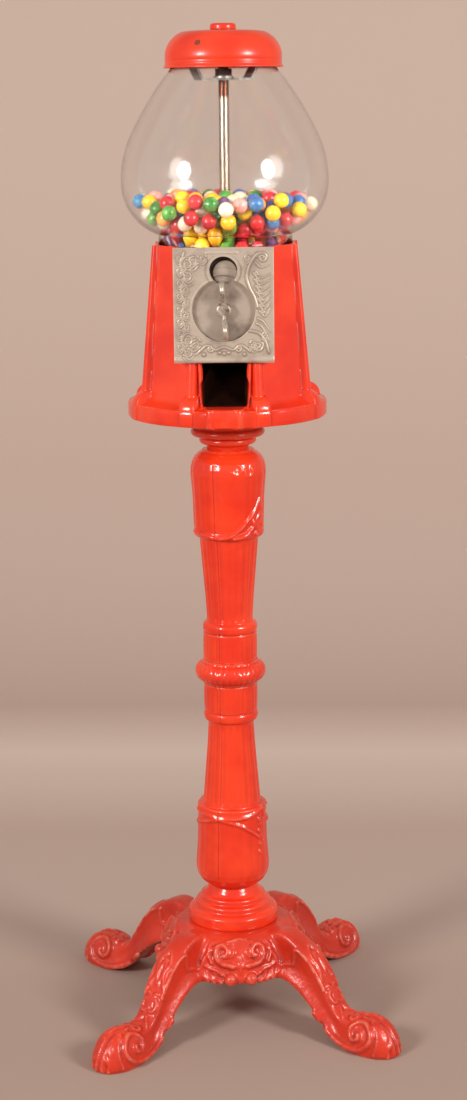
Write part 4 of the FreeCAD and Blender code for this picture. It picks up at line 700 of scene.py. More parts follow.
# %% [markdown]
# ## Flutes
# Column and collar are reeded: round staves stand side by side with a sharp groove between them. A
# Geometry Nodes tree cuts the grooves. It takes the angle of each point, makes a wave with as many
# grooves as asked for and pulls the surface inwards there, but only between two heights. Staves modelled
# one by one would be fixed in number; the tree runs again with other numbers for each moulding.

# %% Geometry trees
BORE, SKIN_FROM = 14, 18


def geometry_node(tree, kind, inputs=None, **settings):
    return add_node(tree, kind, inputs, "GeometryNode", **settings)


def geometry_tree(name, floats):
    """A geometry tree with named float inputs; returns it with its input and output nodes."""
    tree = bpy.data.node_groups.new(name, "GeometryNodeTree")
    tree.interface.new_socket("Geometry", in_out="INPUT", socket_type="NodeSocketGeometry")
    for label, default in floats:
        socket = tree.interface.new_socket(label, in_out="INPUT", socket_type="NodeSocketFloat")
        socket.default_value = default
    tree.interface.new_socket("Finish", in_out="INPUT", socket_type="NodeSocketMaterial")
    tree.interface.new_socket("Geometry", in_out="OUTPUT", socket_type="NodeSocketGeometry")
    return tree, tree.nodes.new("NodeGroupInput"), tree.nodes.new("NodeGroupOutput")


def finish_tree(tree, given, result, geometry):
    """End a tree the same way each time: real geometry with its finish."""
    real = geometry_node(tree, "RealizeInstances", {"Geometry": geometry}).outputs["Geometry"]
    paint = geometry_node(tree, "SetMaterial", {"Geometry": real, "Material": given.outputs["Finish"]})
    tree.links.new(paint.outputs["Geometry"], result.inputs["Geometry"])


def run_tree(obj, tree, **values):
    """Add a tree to an object as a modifier and set its named inputs."""
    modifier = obj.modifiers.new(tree.name, "NODES")
    modifier.node_group = tree
    for item in tree.interface.items_tree:
        label = item.name.replace(" ", "_")
        if item.in_out == "INPUT" and label in values:
            modifier[item.identifier] = values[label]
    return obj


# %% Flute tree
def make_flute_tree():
    tree, given, result = geometry_tree("flutes", [("Count", 16.0), ("Depth", 0.001), ("Lowest", 0.0),
                                                   ("Highest", 1.0), ("Ease", 0.01)])
    place = geometry_node(tree, "InputPosition").outputs[0]
    parts = add_node(tree, "SeparateXYZ", {"Vector": place}).outputs
    angle = math_node(tree, "ARCTAN2", parts["Y"], parts["X"])
    half = math_node(tree, "MULTIPLY", given.outputs["Count"], 0.5)
    stave = math_node(tree, "ABSOLUTE", math_node(tree, "SINE", math_node(tree, "MULTIPLY", angle, half)))
    wave = math_node(tree, "SUBTRACT", 1.0, stave)
    ends = []
    for top, bottom in ((parts["Z"], given.outputs["Lowest"]), (given.outputs["Highest"], parts["Z"])):
        inwards = math_node(tree, "DIVIDE", math_node(tree, "SUBTRACT", top, bottom), given.outputs["Ease"])
        ends.append(ramp(tree, inwards, 0.0, 1.0))
    flat = add_node(tree, "CombineXYZ", {"X": parts["X"], "Y": parts["Y"], "Z": 0.0}).outputs[0]
    outwards = add_node(tree, "VectorMath", {0: flat}, operation="NORMALIZE").outputs[0]
    radius = add_node(tree, "VectorMath", {0: flat}, operation="LENGTH").outputs["Value"]
    outer = math_node(tree, "GREATER_THAN", radius, SKIN_FROM * MM)
    inside = math_node(tree, "MINIMUM", *ends)
    depth = math_node(tree, "MULTIPLY", wave, inside, given.outputs["Depth"], outer)
    pull = add_node(tree, "VectorMath", {0: outwards, "Scale": math_node(tree, "MULTIPLY", depth, -1.0)},
                    operation="SCALE")
    moved = geometry_node(tree, "SetPosition", {"Geometry": given.outputs["Geometry"],
                                                "Offset": pull.outputs[0]})
    finish_tree(tree, given, result, moved.outputs["Geometry"])
    return tree


FLUTES = make_flute_tree()


def flute(obj, count, depth, ends, ease):
    """Cut grooves into a turned casting between two heights."""
    run_tree(obj, FLUTES, Count=float(count), Depth=depth * MM, Lowest=min(ends) * MM, Highest=max(ends) * MM,
             Ease=ease * MM, Finish=COLUMN_ENAMEL)


# %% [markdown]
# ## Stand: plinth, collar and cap
# On the real stand these are round castings, stacked with the columns on one rod. An outline on a lathe
# is the shortest way to such a moulding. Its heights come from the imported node, so it meets what stands
# above and below. The collar also runs the flute tree along its two edges.

# %% Turned mouldings
COLUMN_SEGMENTS = 288
COLLAR_FLUTES, COLLAR_DEPTH, COLLAR_EASE = 36, 0.7, 2


def make_plinth():
    foot, top = heights("plinth")
    outline = rounded([(BORE, foot), (42.6, foot), (43, foot + 2), (43, foot + 10.5), (39.5, foot + 13.2),
                       (36.2, foot + 14.0), (36.2, foot + 19), (33.5, foot + 20.4), (31.6, foot + 21),
                       (31.4, foot + 25.5), (28, foot + 27), (25.5, foot + 30), (23, top), (BORE, top)], 1.6)
    return piece(lathe("cast_plinth", outline), COLUMN_ENAMEL, stands_for=["plinth"])


def make_collar():
    foot, top = heights("column_collar")
    middle = (foot + top) / 2
    outline = [(BORE, foot), (26.0, foot), (26.8, foot + 2.0), *bead((26.6, middle), (7.0, 8.6), -84, 84, 15),
               (26.8, top - 2.0), (26.0, top), (BORE, top)]
    obj = lathe("cast_collar", np.array(outline), COLUMN_SEGMENTS)
    for ends in ((foot + 1, middle - 2), (middle + 2, top - 1)):
        flute(obj, COLLAR_FLUTES, COLLAR_DEPTH, ends, COLLAR_EASE)
    return piece(bake(obj), COLUMN_ENAMEL, stands_for=["column_collar"])


def make_cap():
    foot, top = heights("stand_cap")
    outline = [(BORE, foot), (19.7, foot), (19.4, foot + 3.4), (21.2, foot + 5.0)]
    for reach, z, thick in ((26.8, foot + 9.0, 3.5), (34.6, foot + 16.6, 3.7)):
        outline += bead((reach - thick, z), (thick, thick), -80, 80, 11) + [(reach - 2.4, z + thick + 0.3)]
    outline += [(37, foot + 22), (43.5, foot + 26), (45.6, foot + 28.5), (46, top), (BORE, top)]
    return piece(lathe("cast_cap", np.array(outline)), COLUMN_ENAMEL, stands_for=["stand_cap"])


make_plinth()
make_collar()
make_cap()

# %% [markdown]
# ## Column halves
# Both halves are one kind of casting, one turned over. Drum, taper and vase each run the flute tree with
# their own numbers. Ribbons and bow are strokes on the unrolled surface. The seam where two moulds met
# is one line of points pressed in. All of it moves the points of one fine mesh, so that ornament and
# casting stay one skin under the paint.

# %% Column casting
COLUMN_STEP, COLUMN_LENGTH = 1.4, 202
AROUND = 34.5  # radius on which the ornament is unrolled
# Flutes as count, depth and both ends, measured from the collar.
COLUMN_FLUTES, FLUTE_EASE = ((30, 0.5, 1, 27), (20, 0.9, 38, 119), (20, 0.55, 128, 194)), 5
SEAM_ANGLE, SEAM_DEPTH, SEAM_END, SEAM_FADE = math.radians(-22.5), 1.3, 195, 12


def column_outline(upper):
    """Radius against distance from the collar, drum to vase."""
    corners = [(25.5, 0), (25.7, 13), (25.4, 26.5)]
    corners += bead((24.0, 31.8), (2.0, 4.4), -80, 80, 9)
    corners += [(22.2, 37.4), (21.9, 42), (23.0, 60), (27.9, 119)]
    if upper:
        corners += bead((30.6, 124.4), (2.5, 4.2), -80, 40, 9)
    else:
        corners += [(28.3, 120.2), (32.4, 120.6), (33.2, 121.4)]
    corners += [(33.1, 130.5), (33.4, 140), (33.9, 158), (35.0, 172), (35.6, 180), (35.3, 186), (33.9, 191.5),
                (31.2, 196), (28.0, 199), (25.2, 200.4), (24.2, COLUMN_LENGTH)]
    line = np.array(corners)
    lengths = np.concatenate([[0], np.cumsum(np.linalg.norm(np.diff(line, axis=0), axis=1))])
    steps = np.unique(np.concatenate([lengths, np.arange(0, lengths[-1], COLUMN_STEP)]))
    outside = np.stack([np.interp(steps, lengths, line[:, 0]), np.interp(steps, lengths, line[:, 1])], axis=1)
    return np.vstack([outside, [(BORE, COLUMN_LENGTH), (BORE, 0)]])


# %% Column ornament
def column_ornament(upper):
    """Strokes over (around the front, distance from the collar) in millimetres."""
    if upper:
        strokes = [Stroke(curve_through([(-44, 126), (-30, 124.5), (-16, 123), (-6, 121.5), (5.6, 126),
                                         (17, 135), (26, 144), (31.5, 151), (36, 158)]), 2.4, 1.7, 0.25),
                   Stroke(curve_through([(7, 121.5), (13, 122.5), (19, 125), (25, 129)]), 3.0, 1.9),
                   Stroke(curve_through([(22, 128), (29, 133), (38, 136)]), 2.2, 1.5, 0.4),
                   Stroke(curve_through([(28, 132), (34, 141), (40, 148)]), 2.0, 1.5, 0.5)]
        strokes += dots([(28, 136), (33, 131), (38, 142), (32, 125), (42, 133)], 3.2, 1.8)
        strokes += [Stroke(spiral((9, 187), 5.0, 4.4, 0.7, 200), 1.4, 0.8),
                    Stroke(spiral((21, 185), 4.6, 4.0, 0.7, 160), 1.4, 0.8)]
    else:
        strokes = [Stroke(curve_through([(-52, 139), (-41, 136), (-24, 131.5), (-8.5, 128.5), (13.3, 127.5),
                                         (25, 125), (36, 121)]), 2.3, 1.8),
                   Stroke(curve_through([(-46, 125), (-39, 126), (-22.4, 127), (-8.5, 130), (7.8, 134.5),
                                         (19.4, 141.3), (28, 147.5), (36, 154)]), 2.3, 1.8, 0.2)]
        strokes += dots([(31, 131.5), (33, 137), (31, 143), (34, 149), (32, 156), (31, 164), (40, 128)],
                        2.9, 1.9)
    behind = [Stroke(stroke.line + [math.pi * AROUND, 0], stroke.width, stroke.height, stroke.taper)
              for stroke in strokes]
    return strokes + behind


# %% Both halves
def make_column(node, upper):
    foot, top = heights(node)
    start, sign = (foot, 1) if upper else (top, -1)
    outline = column_outline(upper)
    outline[:, 1] = start + sign * outline[:, 1]
    obj = lathe("cast_" + node, outline, COLUMN_SEGMENTS)
    for count, depth, near, far in COLUMN_FLUTES:
        flute(obj, count, depth, (start + sign * near, start + sign * far), FLUTE_EASE)
    bake(obj)
    points = read_points(obj)
    radius = np.hypot(points[:, 0], points[:, 1])
    angle = np.arctan2(points[:, 0], -points[:, 1])
    around = np.where(angle < -math.pi / 2, angle + 2 * math.pi, angle) * AROUND
    flat = np.stack([around, (points[:, 2] - start) * sign], axis=1)
    on_seam = np.abs(angle - SEAM_ANGLE) < math.pi / COLUMN_SEGMENTS
    seam = np.where(on_seam, SEAM_DEPTH, 0) * smooth_step(SEAM_END - flat[:, 1], 0, SEAM_FADE)
    rise = np.where(radius > SKIN_FROM, relief(flat, column_ornament(upper)) - seam, 0)
    points[:, :2] *= (1 + rise / np.maximum(radius, 1))[:, None]
    write_points(obj, points)
    return piece(obj, COLUMN_ENAMEL, stands_for=[node])


make_column("column_upper", True)
make_column("column_lower", False)

# %% [markdown]
# ## Body
# The body is an octagon that widens downwards into a round flange. One formula gives its radius for
# every direction and height: flat sides, a round rib on each corner that flares out into a pad, a
# hollow curve from the wall to the flange, and a raised lip on both sides of the chute opening.
# The front is drawn with finer columns, because the lips and ribs there are what the eye reads. Cutting
# it out of a prism would leave hard edges; a formula lets every part run softly into the next.

# %% Body numbers
BASE_Z, RIM_Z = heights("body")
plate_low, plate_high = span("face_plate")
PLATE_Z, PLATE_BACK = plate_low[2], plate_high[1]
FLANGE_RADIUS, FLANGE_TOP, COVE_TOP, PAD_TOP = 92.0, BASE_Z + 14, BASE_Z + 23.5, BASE_Z + 27
WALL_FOOT, WALL_FOOT_Z, WALL_TOP, WALL_THICK = 72.8, BASE_Z + 30.3, 63.5, 0.9
RIB_FOOT, RIB_TOP, RIB_SINK, PAD_HALF = 4.8, 2.7, 0.6, 6.4
RIM_HOLE, BASE_STEPS = 62.0, ((73.5, 16.5), (73.5, 3), (80.4, 3), (80.4, 0))
CHUTE_WALL, LIP_END, LIP_RISE, LIP_HALF = 79.0, math.radians(17.5), 2.6, 1.7
BOX_HALF, BOX_BACK = 44.0, -48.0
SILL_Z, CHUTE_HALF_TOP, CHUTE_HALF_LOW = BASE_Z + 17.5, 20.5, 18.5
CORNER = math.pi / 8
# Grooves beside ribs and pads: depth, distance from the edge, width.
RIB_GROOVE, PAD_GROOVE = (1.9, 0.4, 0.8), (1.0, 1.4, 0.9)
PAD_REACH, PAD_SINK, PAD_EASE = 1.6, 2, 1.4
FLANGE_SINK, FLANGE_PAD, FLANGE_LOBE = 0.6, 1.5, 0.8
LOWER_EASE, UPPER_EASE = (1.6, 1.4), (2.4, 2.2)  # height and depth of the flange's eased edges
FRAME_FRONT, FRAME_DEEP, FRAME_THICK = 0.6, 6, 3
LUG_INNER, LUG_OUTER, LUG_HALF, LUG_DEEP = 56.2, 66.8, 8, 12


def wall_flat(z):
    return WALL_FOOT + (WALL_TOP - WALL_FOOT) * (z - WALL_FOOT_Z) / (RIM_Z - WALL_FOOT_Z)


def chute_half(z):
    share = np.clip((z - SILL_Z) / (PLATE_Z - SILL_Z), 0, 1)
    return CHUTE_HALF_LOW + (CHUTE_HALF_TOP - CHUTE_HALF_LOW) * share


def from_corner(angle):
    """Angle to the nearest corner of the octagon; the front flat is centred on angle 0."""
    return (angle + 2 * CORNER) % (2 * CORNER) - CORNER


def octagon(flat, angle):
    """Radius of an octagon whose flats are that far from the axis."""
    return flat / np.cos(CORNER - np.abs(from_corner(angle)))


def groove_beside(across, edge, depth, away, width):
    """Depth of a soft groove that runs along an edge on both sides of a middle."""
    return depth * np.exp(-((np.abs(across) - edge - away) / width) ** 2)


def outer_radius(angle, z):
    """Radius of the outside, for arrays of angle (0 = front) and height."""
    flat, off = wall_flat(z), from_corner(angle)
    side = octagon(flat, angle)
    drop = np.clip((z - FLANGE_TOP) / (COVE_TOP - FLANGE_TOP), 0, 1)
    cove = side + np.clip(FLANGE_RADIUS - 1 - side, 0, None) * (1 - np.sqrt(1 - (1 - drop) ** 2))
    middle = flat / math.cos(CORNER) - RIB_SINK
    across = middle * np.sin(off)
    thick = RIB_FOOT + (RIB_TOP - RIB_FOOT) * np.clip((z - WALL_FOOT_Z) / (RIM_Z - WALL_FOOT_Z), 0, 1)
    inside = np.clip(thick ** 2 - across ** 2, 0, None)
    rib = np.where(inside > 0, middle * np.cos(off) + np.sqrt(inside), 0)
    groove = groove_beside(across, thick, *RIB_GROOVE)
    share = np.clip((z - FLANGE_TOP) / (PAD_TOP - FLANGE_TOP), 0, 1)
    reach = side - PAD_SINK + (FLANGE_RADIUS + PAD_REACH - side) * np.sqrt(1 - share ** 2)
    width = np.clip(1 - (np.abs(across) / PAD_HALF) ** 4, 0, None)
    pad = np.where(width > 0, reach - PAD_EASE * (1 - np.sqrt(width)), 0)
    return np.maximum(np.maximum(cove - groove, rib), pad)


def flange_radius(angle, z):
    """The flange with a pad below each rib and its edges eased; 0 above it."""
    across = FLANGE_RADIUS * np.sin(from_corner(angle))
    pad = FLANGE_PAD * smooth_step(PAD_HALF + 0.6 - np.abs(across), 0, 1.2)
    groove = groove_beside(across, PAD_HALF, *PAD_GROOVE)
    lobe = FLANGE_LOBE * np.cos(from_corner(angle) / CORNER * math.pi)
    ease = 0
    for past, (tall, deep) in ((z - BASE_Z, LOWER_EASE), (FLANGE_TOP - z, UPPER_EASE)):
        ease = ease + deep * (1 - np.sqrt(1 - np.clip(1 - past / tall, 0, 1) ** 2))
    return np.where(z <= FLANGE_TOP + 1e-6, FLANGE_RADIUS - FLANGE_SINK - lobe + pad - groove - ease, 0)


# %% Columns of the body's skin
def front_columns():
    """Angles of the columns: one on each edge of the chute, fine ones over the front and the ribs."""
    edge = math.asin(CHUTE_HALF_TOP / CHUTE_WALL)
    steps = [np.linspace(0, edge, 18)[1:], np.linspace(edge, math.radians(30), 46)[1:],
             np.radians(np.arange(31.5, 180, 1.5))]
    steps += [np.radians(corner + np.arange(-7, 7.01, 0.4)) for corner in (67.5, 112.5, 157.5)]
    half = np.unique(np.round(np.concatenate(steps), 6))
    half = half[np.concatenate([[True], np.diff(half) > 0.002])]
    return np.concatenate([[0], half, [math.pi], -half[::-1]]), edge


# %% Rows of the body's skin
EDGE_STEP = 0.05


def ring_row(angles, radius, z):
    return np.stack([radius * np.sin(angles), -radius * np.cos(angles), np.full_like(angles, z)], axis=1)


def outside_heights():
    """Heights of the outside's rows, close together at the flange and on both sides of each edge."""
    levels = np.concatenate([BASE_Z + np.array([0, 0.3, 0.8, 1.6, 4, 8, 11.6, 12.4, 13.2, 13.7, 14]),
                             np.linspace(FLANGE_TOP, PAD_TOP + 1, 24)[1:],
                             np.linspace(PAD_TOP + 1, PLATE_Z - EDGE_STEP, 14)[1:],
                             np.linspace(PLATE_Z + EDGE_STEP, RIM_Z - 1.2, 22), [RIM_Z - 0.5, RIM_Z - 0.1]])
    return np.sort(np.append(levels, [SILL_Z - EDGE_STEP, SILL_Z + EDGE_STEP]))


def outside_row(angles, edge, z):
    """One row of the outside; its columns lean so that one runs along the edge of the chute."""
    half = math.asin(chute_half(z) / CHUTE_WALL)
    warped = np.interp(np.abs(angles), [0, edge, LIP_END, math.pi], [0, half, LIP_END, math.pi])
    warped *= np.sign(angles)
    height = np.full_like(warped, z)
    radius = np.maximum(outer_radius(warped, height), flange_radius(warped, height))
    lateral = np.abs(radius * np.sin(warped)) - chute_half(z)
    in_front = (np.cos(warped) > 0) & (z > SILL_Z) & (z < PLATE_Z)
    lip = LIP_RISE * np.sqrt(np.clip(1 - ((lateral - LIP_HALF) / LIP_HALF) ** 2, 0, 1))
    row = ring_row(warped, radius + np.where(in_front, lip, 0), z)
    if z > PLATE_Z:
        behind_plate = (np.abs(row[:, 0]) < BOX_HALF + 0.3) & (row[:, 1] < 0)
        row[behind_plate, 1] = np.maximum(row[behind_plate, 1], PLATE_BACK + 0.3)
    return row


def inside_rows(angles):
    """Rim, inner wall and the step that holds the base plate."""
    rows = [ring_row(angles, octagon(WALL_TOP - 0.2, angles), RIM_Z)]
    rows += [ring_row(angles, RIM_HOLE, z) for z in (RIM_Z, RIM_Z - 2.5)]
    for z in np.linspace(RIM_Z - 4, WALL_FOOT_Z, 24):
        inner = np.minimum(octagon(wall_flat(z) - WALL_THICK, angles), wall_flat(z) - WALL_THICK / 3)
        rows.append(ring_row(angles, inner, z))
    return rows + [ring_row(angles, radius, BASE_Z + up) for radius, up in BASE_STEPS]


def body_skin():
    angles, edge = front_columns()
    rows = [outside_row(angles, edge, z) for z in outside_heights()] + inside_rows(angles)
    return np.concatenate(rows), grid_faces(len(rows), len(angles), wrap_rows=True, wrap_columns=True)


def open_front(points, faces):
    """Leave out the faces across the chute opening and inside the box behind the plate."""
    kept = []
    for face in faces:
        x, y, z = points[list(face)].mean(axis=0)
        in_chute = abs(x) < chute_half(z) and y < -40 and SILL_Z < z < PLATE_Z
        in_box = abs(x) < BOX_HALF - 2.6 and y < BOX_BACK + 2 and PLATE_Z + 2.5 < z < RIM_Z - 2.5
        if not (in_chute or in_box):
            kept.append(face)
    return kept


# %% Box behind the plate, chute frame and spout
def boss_box():
    """Four walls and an inner lip that carry the coin plate."""
    corners = [(-1, 0), (1, 0), (1, 1), (-1, 1)]
    section = [(0, BOX_BACK), (0, PLATE_BACK + 0.7), (0.7, PLATE_BACK), (5.5, PLATE_BACK),
               (5.5, PLATE_BACK + 3), (2.5, PLATE_BACK + 3), (2.5, BOX_BACK)]
    points = [(side * (BOX_HALF - inset), y, RIM_Z - inset if up else PLATE_Z + inset)
              for inset, y in section for side, up in corners]
    faces = grid_faces(len(section), len(corners), wrap_rows=True, wrap_columns=True)
    return tidy(mesh_object("boss_box", points, faces))


def chute_frame(side):
    """The wall's thickness at one side of the opening."""
    rows = []
    for z in (SILL_Z, PLATE_Z):
        flat, half = wall_flat(z), float(chute_half(z))
        front, back, outer = -flat - FRAME_FRONT, -flat + FRAME_DEEP, half + FRAME_THICK
        plan = ((half, front), (half, back), (outer, back), (outer, front))
        rows.append([(side * x, y, z) for x, y in plan])
    return closed_rows("chute_frame", rows)


def spout():
    """The block below the opening, with a finger hollow in its front."""
    half = curve_through([(18, -76), (17.6, -88), (16.8, -94), (15.4, -96.8), (13.4, -98.2), (11.4, -98.3),
                          (9.8, -97.5), (5, -96.9), (0, -96.8)], 5)
    plan = np.vstack([half, half[-2::-1] * [-1, 1]])
    levels = [(BASE_Z, 1.2), (BASE_Z + 0.6, 0.3), (BASE_Z + 1.6, 0), (SILL_Z - 2.2, 0), (SILL_Z - 0.8, 0.4),
              (SILL_Z - 0.2, 1.1), (SILL_Z, 2.2)]
    rows = []
    for z, inset in levels:
        shrink = 1 - inset / half[0, 0]
        dip = 0.7 * np.clip(1 - (plan[:, 0] / 15) ** 2, 0, 1) if z > SILL_Z - 3 else 0
        rows.append(np.stack([plan[:, 0] * shrink, plan[:, 1] + inset, np.full(len(plan), z) - dip], axis=1))
    count = len(plan)
    faces = grid_faces(len(rows), count, wrap_columns=True)
    top = (len(rows) - 1) * count
    for i in range(count // 2):
        faces.append((top + i, top + i + 1, top + count - 2 - i, top + count - 1 - i))
        faces.append((count - 1 - i, count - 2 - i, i + 1, i))
    return tidy(mesh_object("spout", np.concatenate(rows), faces))


# %% Lugs and the whole body
def hopper_lugs():
    """Four lugs inside the body that the hopper is screwed to."""
    top = heights("hopper")[0]
    parts = []
    for number in range(4):
        angle = math.radians(45 + 90 * number)
        along = np.array([math.cos(angle), math.sin(angle)])
        across = np.array([-math.sin(angle), math.cos(angle)])
        plan = [along * r + across * s for r, s in ((LUG_INNER, -LUG_HALF), (LUG_OUTER, -LUG_HALF),
                                                    (LUG_OUTER, LUG_HALF), (LUG_INNER, LUG_HALF))]
        parts.append(closed_rows("lug", [[(*p, z) for p in plan] for z in (top - LUG_DEEP, top)]))
    return parts


def make_body():
    points, faces = body_skin()
    skin = tidy(mesh_object("skin", points, open_front(points, faces)))
    obj = join("cast_body", skin, boss_box(), chute_frame(1), chute_frame(-1), spout(), *hopper_lugs())
    return piece(obj, BODY_ENAMEL, stands_for=["body"])


make_body()

# %% [markdown]
# ## Coin plate
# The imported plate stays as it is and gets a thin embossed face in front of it. The face is a fine grid
# whose points rise under the strokes: a plain border, leaf scrolls down the left side, one long curve
# with combed leaves on the right, and small scrolls along the lower edge. A bump would do from straight in
# front; real relief also catches the light from the side. Places on the plate are (x, height above floor).

# %% Sprigs and edges of the plate
PLATE_FRONT, PLATE_STEP = -79.0, 0.46
AXLE_Z = float(np.mean(heights("turn_handle")))
COIN_Z = AXLE_Z + 35
WINDOW_RADIUS, COIN_RIM = 28.2, 15.1
FACE_GAP, RELIEF_SHARE, EDGE_DROP, EDGE_WIDE, RIM_SNAP = 0.05, 0.85, 0.55, 0.9, 0.6
# How far the painted shade and grime reach beside a stroke, how dark they get, and how much of a stroke stays
# clear.
HOLLOW_REACH, HOLLOW_DARK, STROKE_CLEAR = 2.6, 0.75, 1.5
# Leaves of a sprig: width, then three places as (outwards, upwards) in sizes of the sprig.
SPRIG_LEAVES = ((0.9, (0, -0.4), (1.3, -1.3), (2.4, -0.6)), (0.7, (0, -1.0), (1.0, -2.0), (2.2, -1.7)),
                (0.7, (0, 0.8), (0.8, 1.6), (2.1, 1.2)))


def leaf(start, middle, end, width=0.9, height=0.55):
    return Stroke(curve_through([start, middle, end], 6), width, height, 0.55)


def sprig(x, z, side, size):
    """A curl and three thin leaves that grow from a stem to one side."""
    strokes = [Stroke(spiral((x + side * size, z), size, 0.3 * size, -side * 1.2, 90), 0.7, 0.5, 0.3)]
    for width, *steps in SPRIG_LEAVES:
        strokes.append(leaf(*[(x + side * out * size, z + up * size) for out, up in steps], width))
    return strokes


def plain_edges():
    """Border of the plate, a bar above the coin hole and a ring round the window."""
    left, right, low, high = plate_low[0], plate_high[0], plate_low[2], plate_high[2]
    lower = curve_through([(left, low + 2.6), (-15, low + 1.8), (15, low + 1.8), (right, low + 2.6)])
    strokes = [Stroke(lower, 2.4, 1.0), Stroke([(-14.5, high - 4.9), (12.2, high - 4.9)], 1.1, 0.6),
               Stroke(spiral((0, AXLE_Z), 28.9, 28.9, 1, 0, 60), 0.6, 0.2)]
    corners = [(left, low), (left, high), (right, high), (right, low)]
    return strokes + [Stroke(ends, 1.2, 0.2) for ends in zip(corners, corners[1:])]


# %% Foliage of the plate
def left_stem():
    """A waved stem with a sprig to the left and to the right by turns."""
    low, high = plate_low[2], plate_high[2]
    stem = [(-36 + 1.6 * math.cos(step * math.pi / 2), high - 4 - 5.6 * step) for step in range(17)]
    strokes = [Stroke(curve_through(stem, 4), 0.8, 0.55)]
    for number, (x, z) in enumerate(stem[1::2]):
        strokes += sprig(x, z, -1, 2.5) + sprig(x, z - 5, 1, 2.5 if 2 <= number <= 5 else 4.0)
    for x, z, size in ((-22, high - 12, 4.2), (-21, low + 16, 4.4), (-15, high - 10, 2.6)):
        strokes += sprig(x, z, -1, size)
    return strokes


def right_curve():
    """The long curve, its combed leaves and the scrolls at its ends."""
    low, high = plate_low[2], plate_high[2]
    strokes = [Stroke(curve_through([(30, 741), (25.5, 735), (21.8, 727), (20.8, 718.5), (23.6, 710),
                                     (27.4, 702.5), (29.8, 694)]), 1.0, 0.8),
               Stroke(spiral((34.5, 737.5), 4.8, 1.1, -1.5, 170), 0.9, 0.6, 0.3)]
    for number in range(7):
        z, bow = 724 - number * 5.6, 25 + 0.9 * number
        for shift in (0, 1.9):
            strokes.append(leaf((bow + 1.5 + shift, z + shift), (bow + 6 + shift, z - 4.6 + shift),
                                (41.5, z - 1.5 + 0.6 * number + shift), 0.8 - 0.1 * shift))
        strokes.append(Stroke(spiral((bow + 3.6, z - 0.6), 1.7, 0.6, 1.1, 200), 0.6, 0.45))
    strokes += [leaf((28.5, 733), (33, 729), (40.5, 731)), leaf((30.5, 684), (35, 681), (41, 672)),
                leaf((29.5, 679.5), (34, 676), (40.5, 664)),
                Stroke(curve_through([(22.5, 673.5), (31, 671), (36.5, 664), (39.5, 654)]), 0.9, 0.7),
                Stroke(spiral((30, 659.5), 4.8, 1.0, -1.4, 40), 0.9, 0.6, 0.3)]
    return strokes + sprig(23, low + 15, 1, 3.0) + sprig(24, high - 9, -1, 2.6) + sprig(34, 668, 1, 2.4)


def lower_scrolls():
    strokes = [Stroke(curve_through([(-22, 655), (-15, 660.5), (-8, 656.5), (0, 659), (8, 656.5), (15, 660.5),
                                     (23, 655)]), 0.9, 0.6),
               Stroke(spiral((-11.5, 657), 3.0, 0.8, 1.2, 90), 0.7, 0.5),
               Stroke(spiral((12.5, 657), 3.0, 0.8, -1.2, 90), 0.7, 0.5)]
    return strokes + dots([(-4, 654), (0, 653.2), (4, 654), (-18, 652.5), (18, 652.5)], 1.2, 0.5)


# %% Embossed face
def make_plate_face():
    xs, zs = (np.linspace(plate_low[i], plate_high[i], int((plate_high[i] - plate_low[i]) / PLATE_STEP) + 1)
              for i in (0, 2))
    flat = np.stack(np.meshgrid(xs, zs), axis=-1).reshape(-1, 2)
    edge = np.minimum(np.minimum(flat[:, 0] - plate_low[0], plate_high[0] - flat[:, 0]),
                      np.minimum(flat[:, 1] - plate_low[2], plate_high[2] - flat[:, 1]))
    faces = grid_faces(len(zs), len(xs))
    for centre, radius in (((0, AXLE_Z), WINDOW_RADIUS), ((0, COIN_Z), COIN_RIM)):
        away = flat - centre
        distance = np.linalg.norm(away, axis=1)
        near = np.abs(distance - radius) < PLATE_STEP * RIM_SNAP
        flat[near] = centre + away[near] / distance[near, None] * radius
        middles = flat[np.array(faces)].mean(axis=1)
        keep = np.linalg.norm(middles - centre, axis=1) > radius
        faces = [face for face, kept in zip(faces, keep) if kept]
    foliage = left_stem() + right_curve() + lower_scrolls()
    rise = FACE_GAP + RELIEF_SHARE * relief(flat, plain_edges() + foliage)
    rise -= EDGE_DROP * np.clip(1 - edge / EDGE_WIDE, 0, 1) ** 2
    points = np.stack([flat[:, 0], PLATE_FRONT - rise, flat[:, 1]], axis=1)
    obj = mesh_object("plate_relief", points, faces)
    # An attribute marks the ground beside each stroke but off it, darkened with grime and painted shade.
    near, on = (relief(flat, [Stroke(stroke.line, stroke.width * wider, 1.0, stroke.taper)
                              for stroke in foliage]) for wider in (HOLLOW_REACH, 1.0))
    hollows = obj.data.attributes.new("hollows", "FLOAT", "POINT")
    hollows.data.foreach_set("value", HOLLOW_DARK * np.clip(near - STROKE_CLEAR * on, 0, 1))
    work = bmesh.new()
    work.from_mesh(obj.data)
    bmesh.ops.delete(work, geom=[v for v in work.verts if not v.link_faces], context="VERTS")
    work.to_mesh(obj.data)
    work.free()
    return piece(obj, RELIEF_ZINC)


make_plate_face()

# %% [markdown]
# ## Coin notch
# Through the round hole in the plate one looks at the floor of the notch that takes the coin. A groove
# crosses it, and it doesn't fill the hole, so a dark rim stays above. The floor is in two pieces: within
# the rim of the coin wheel it turns with the wheel, and beyond the rim it stands on the tray.

# %% Floor of the coin notch
SEAT_X, SEAT_DROP, SEAT_RADIUS = 1.5, 2.6, 10.9
GROOVE_DROP, GROOVE_HALF, GROOVE_SKIN = 5.2, (0.55, 0.75), 0.05
SEAT_BACK, SEAT_FRONT, SEAT_LEDGE = -71.5, -73.2, -73.8
COIN_WHEEL_RADIUS, RIM_GAP = 37.0, 0.04
TRAY_FLOOR = -70.9


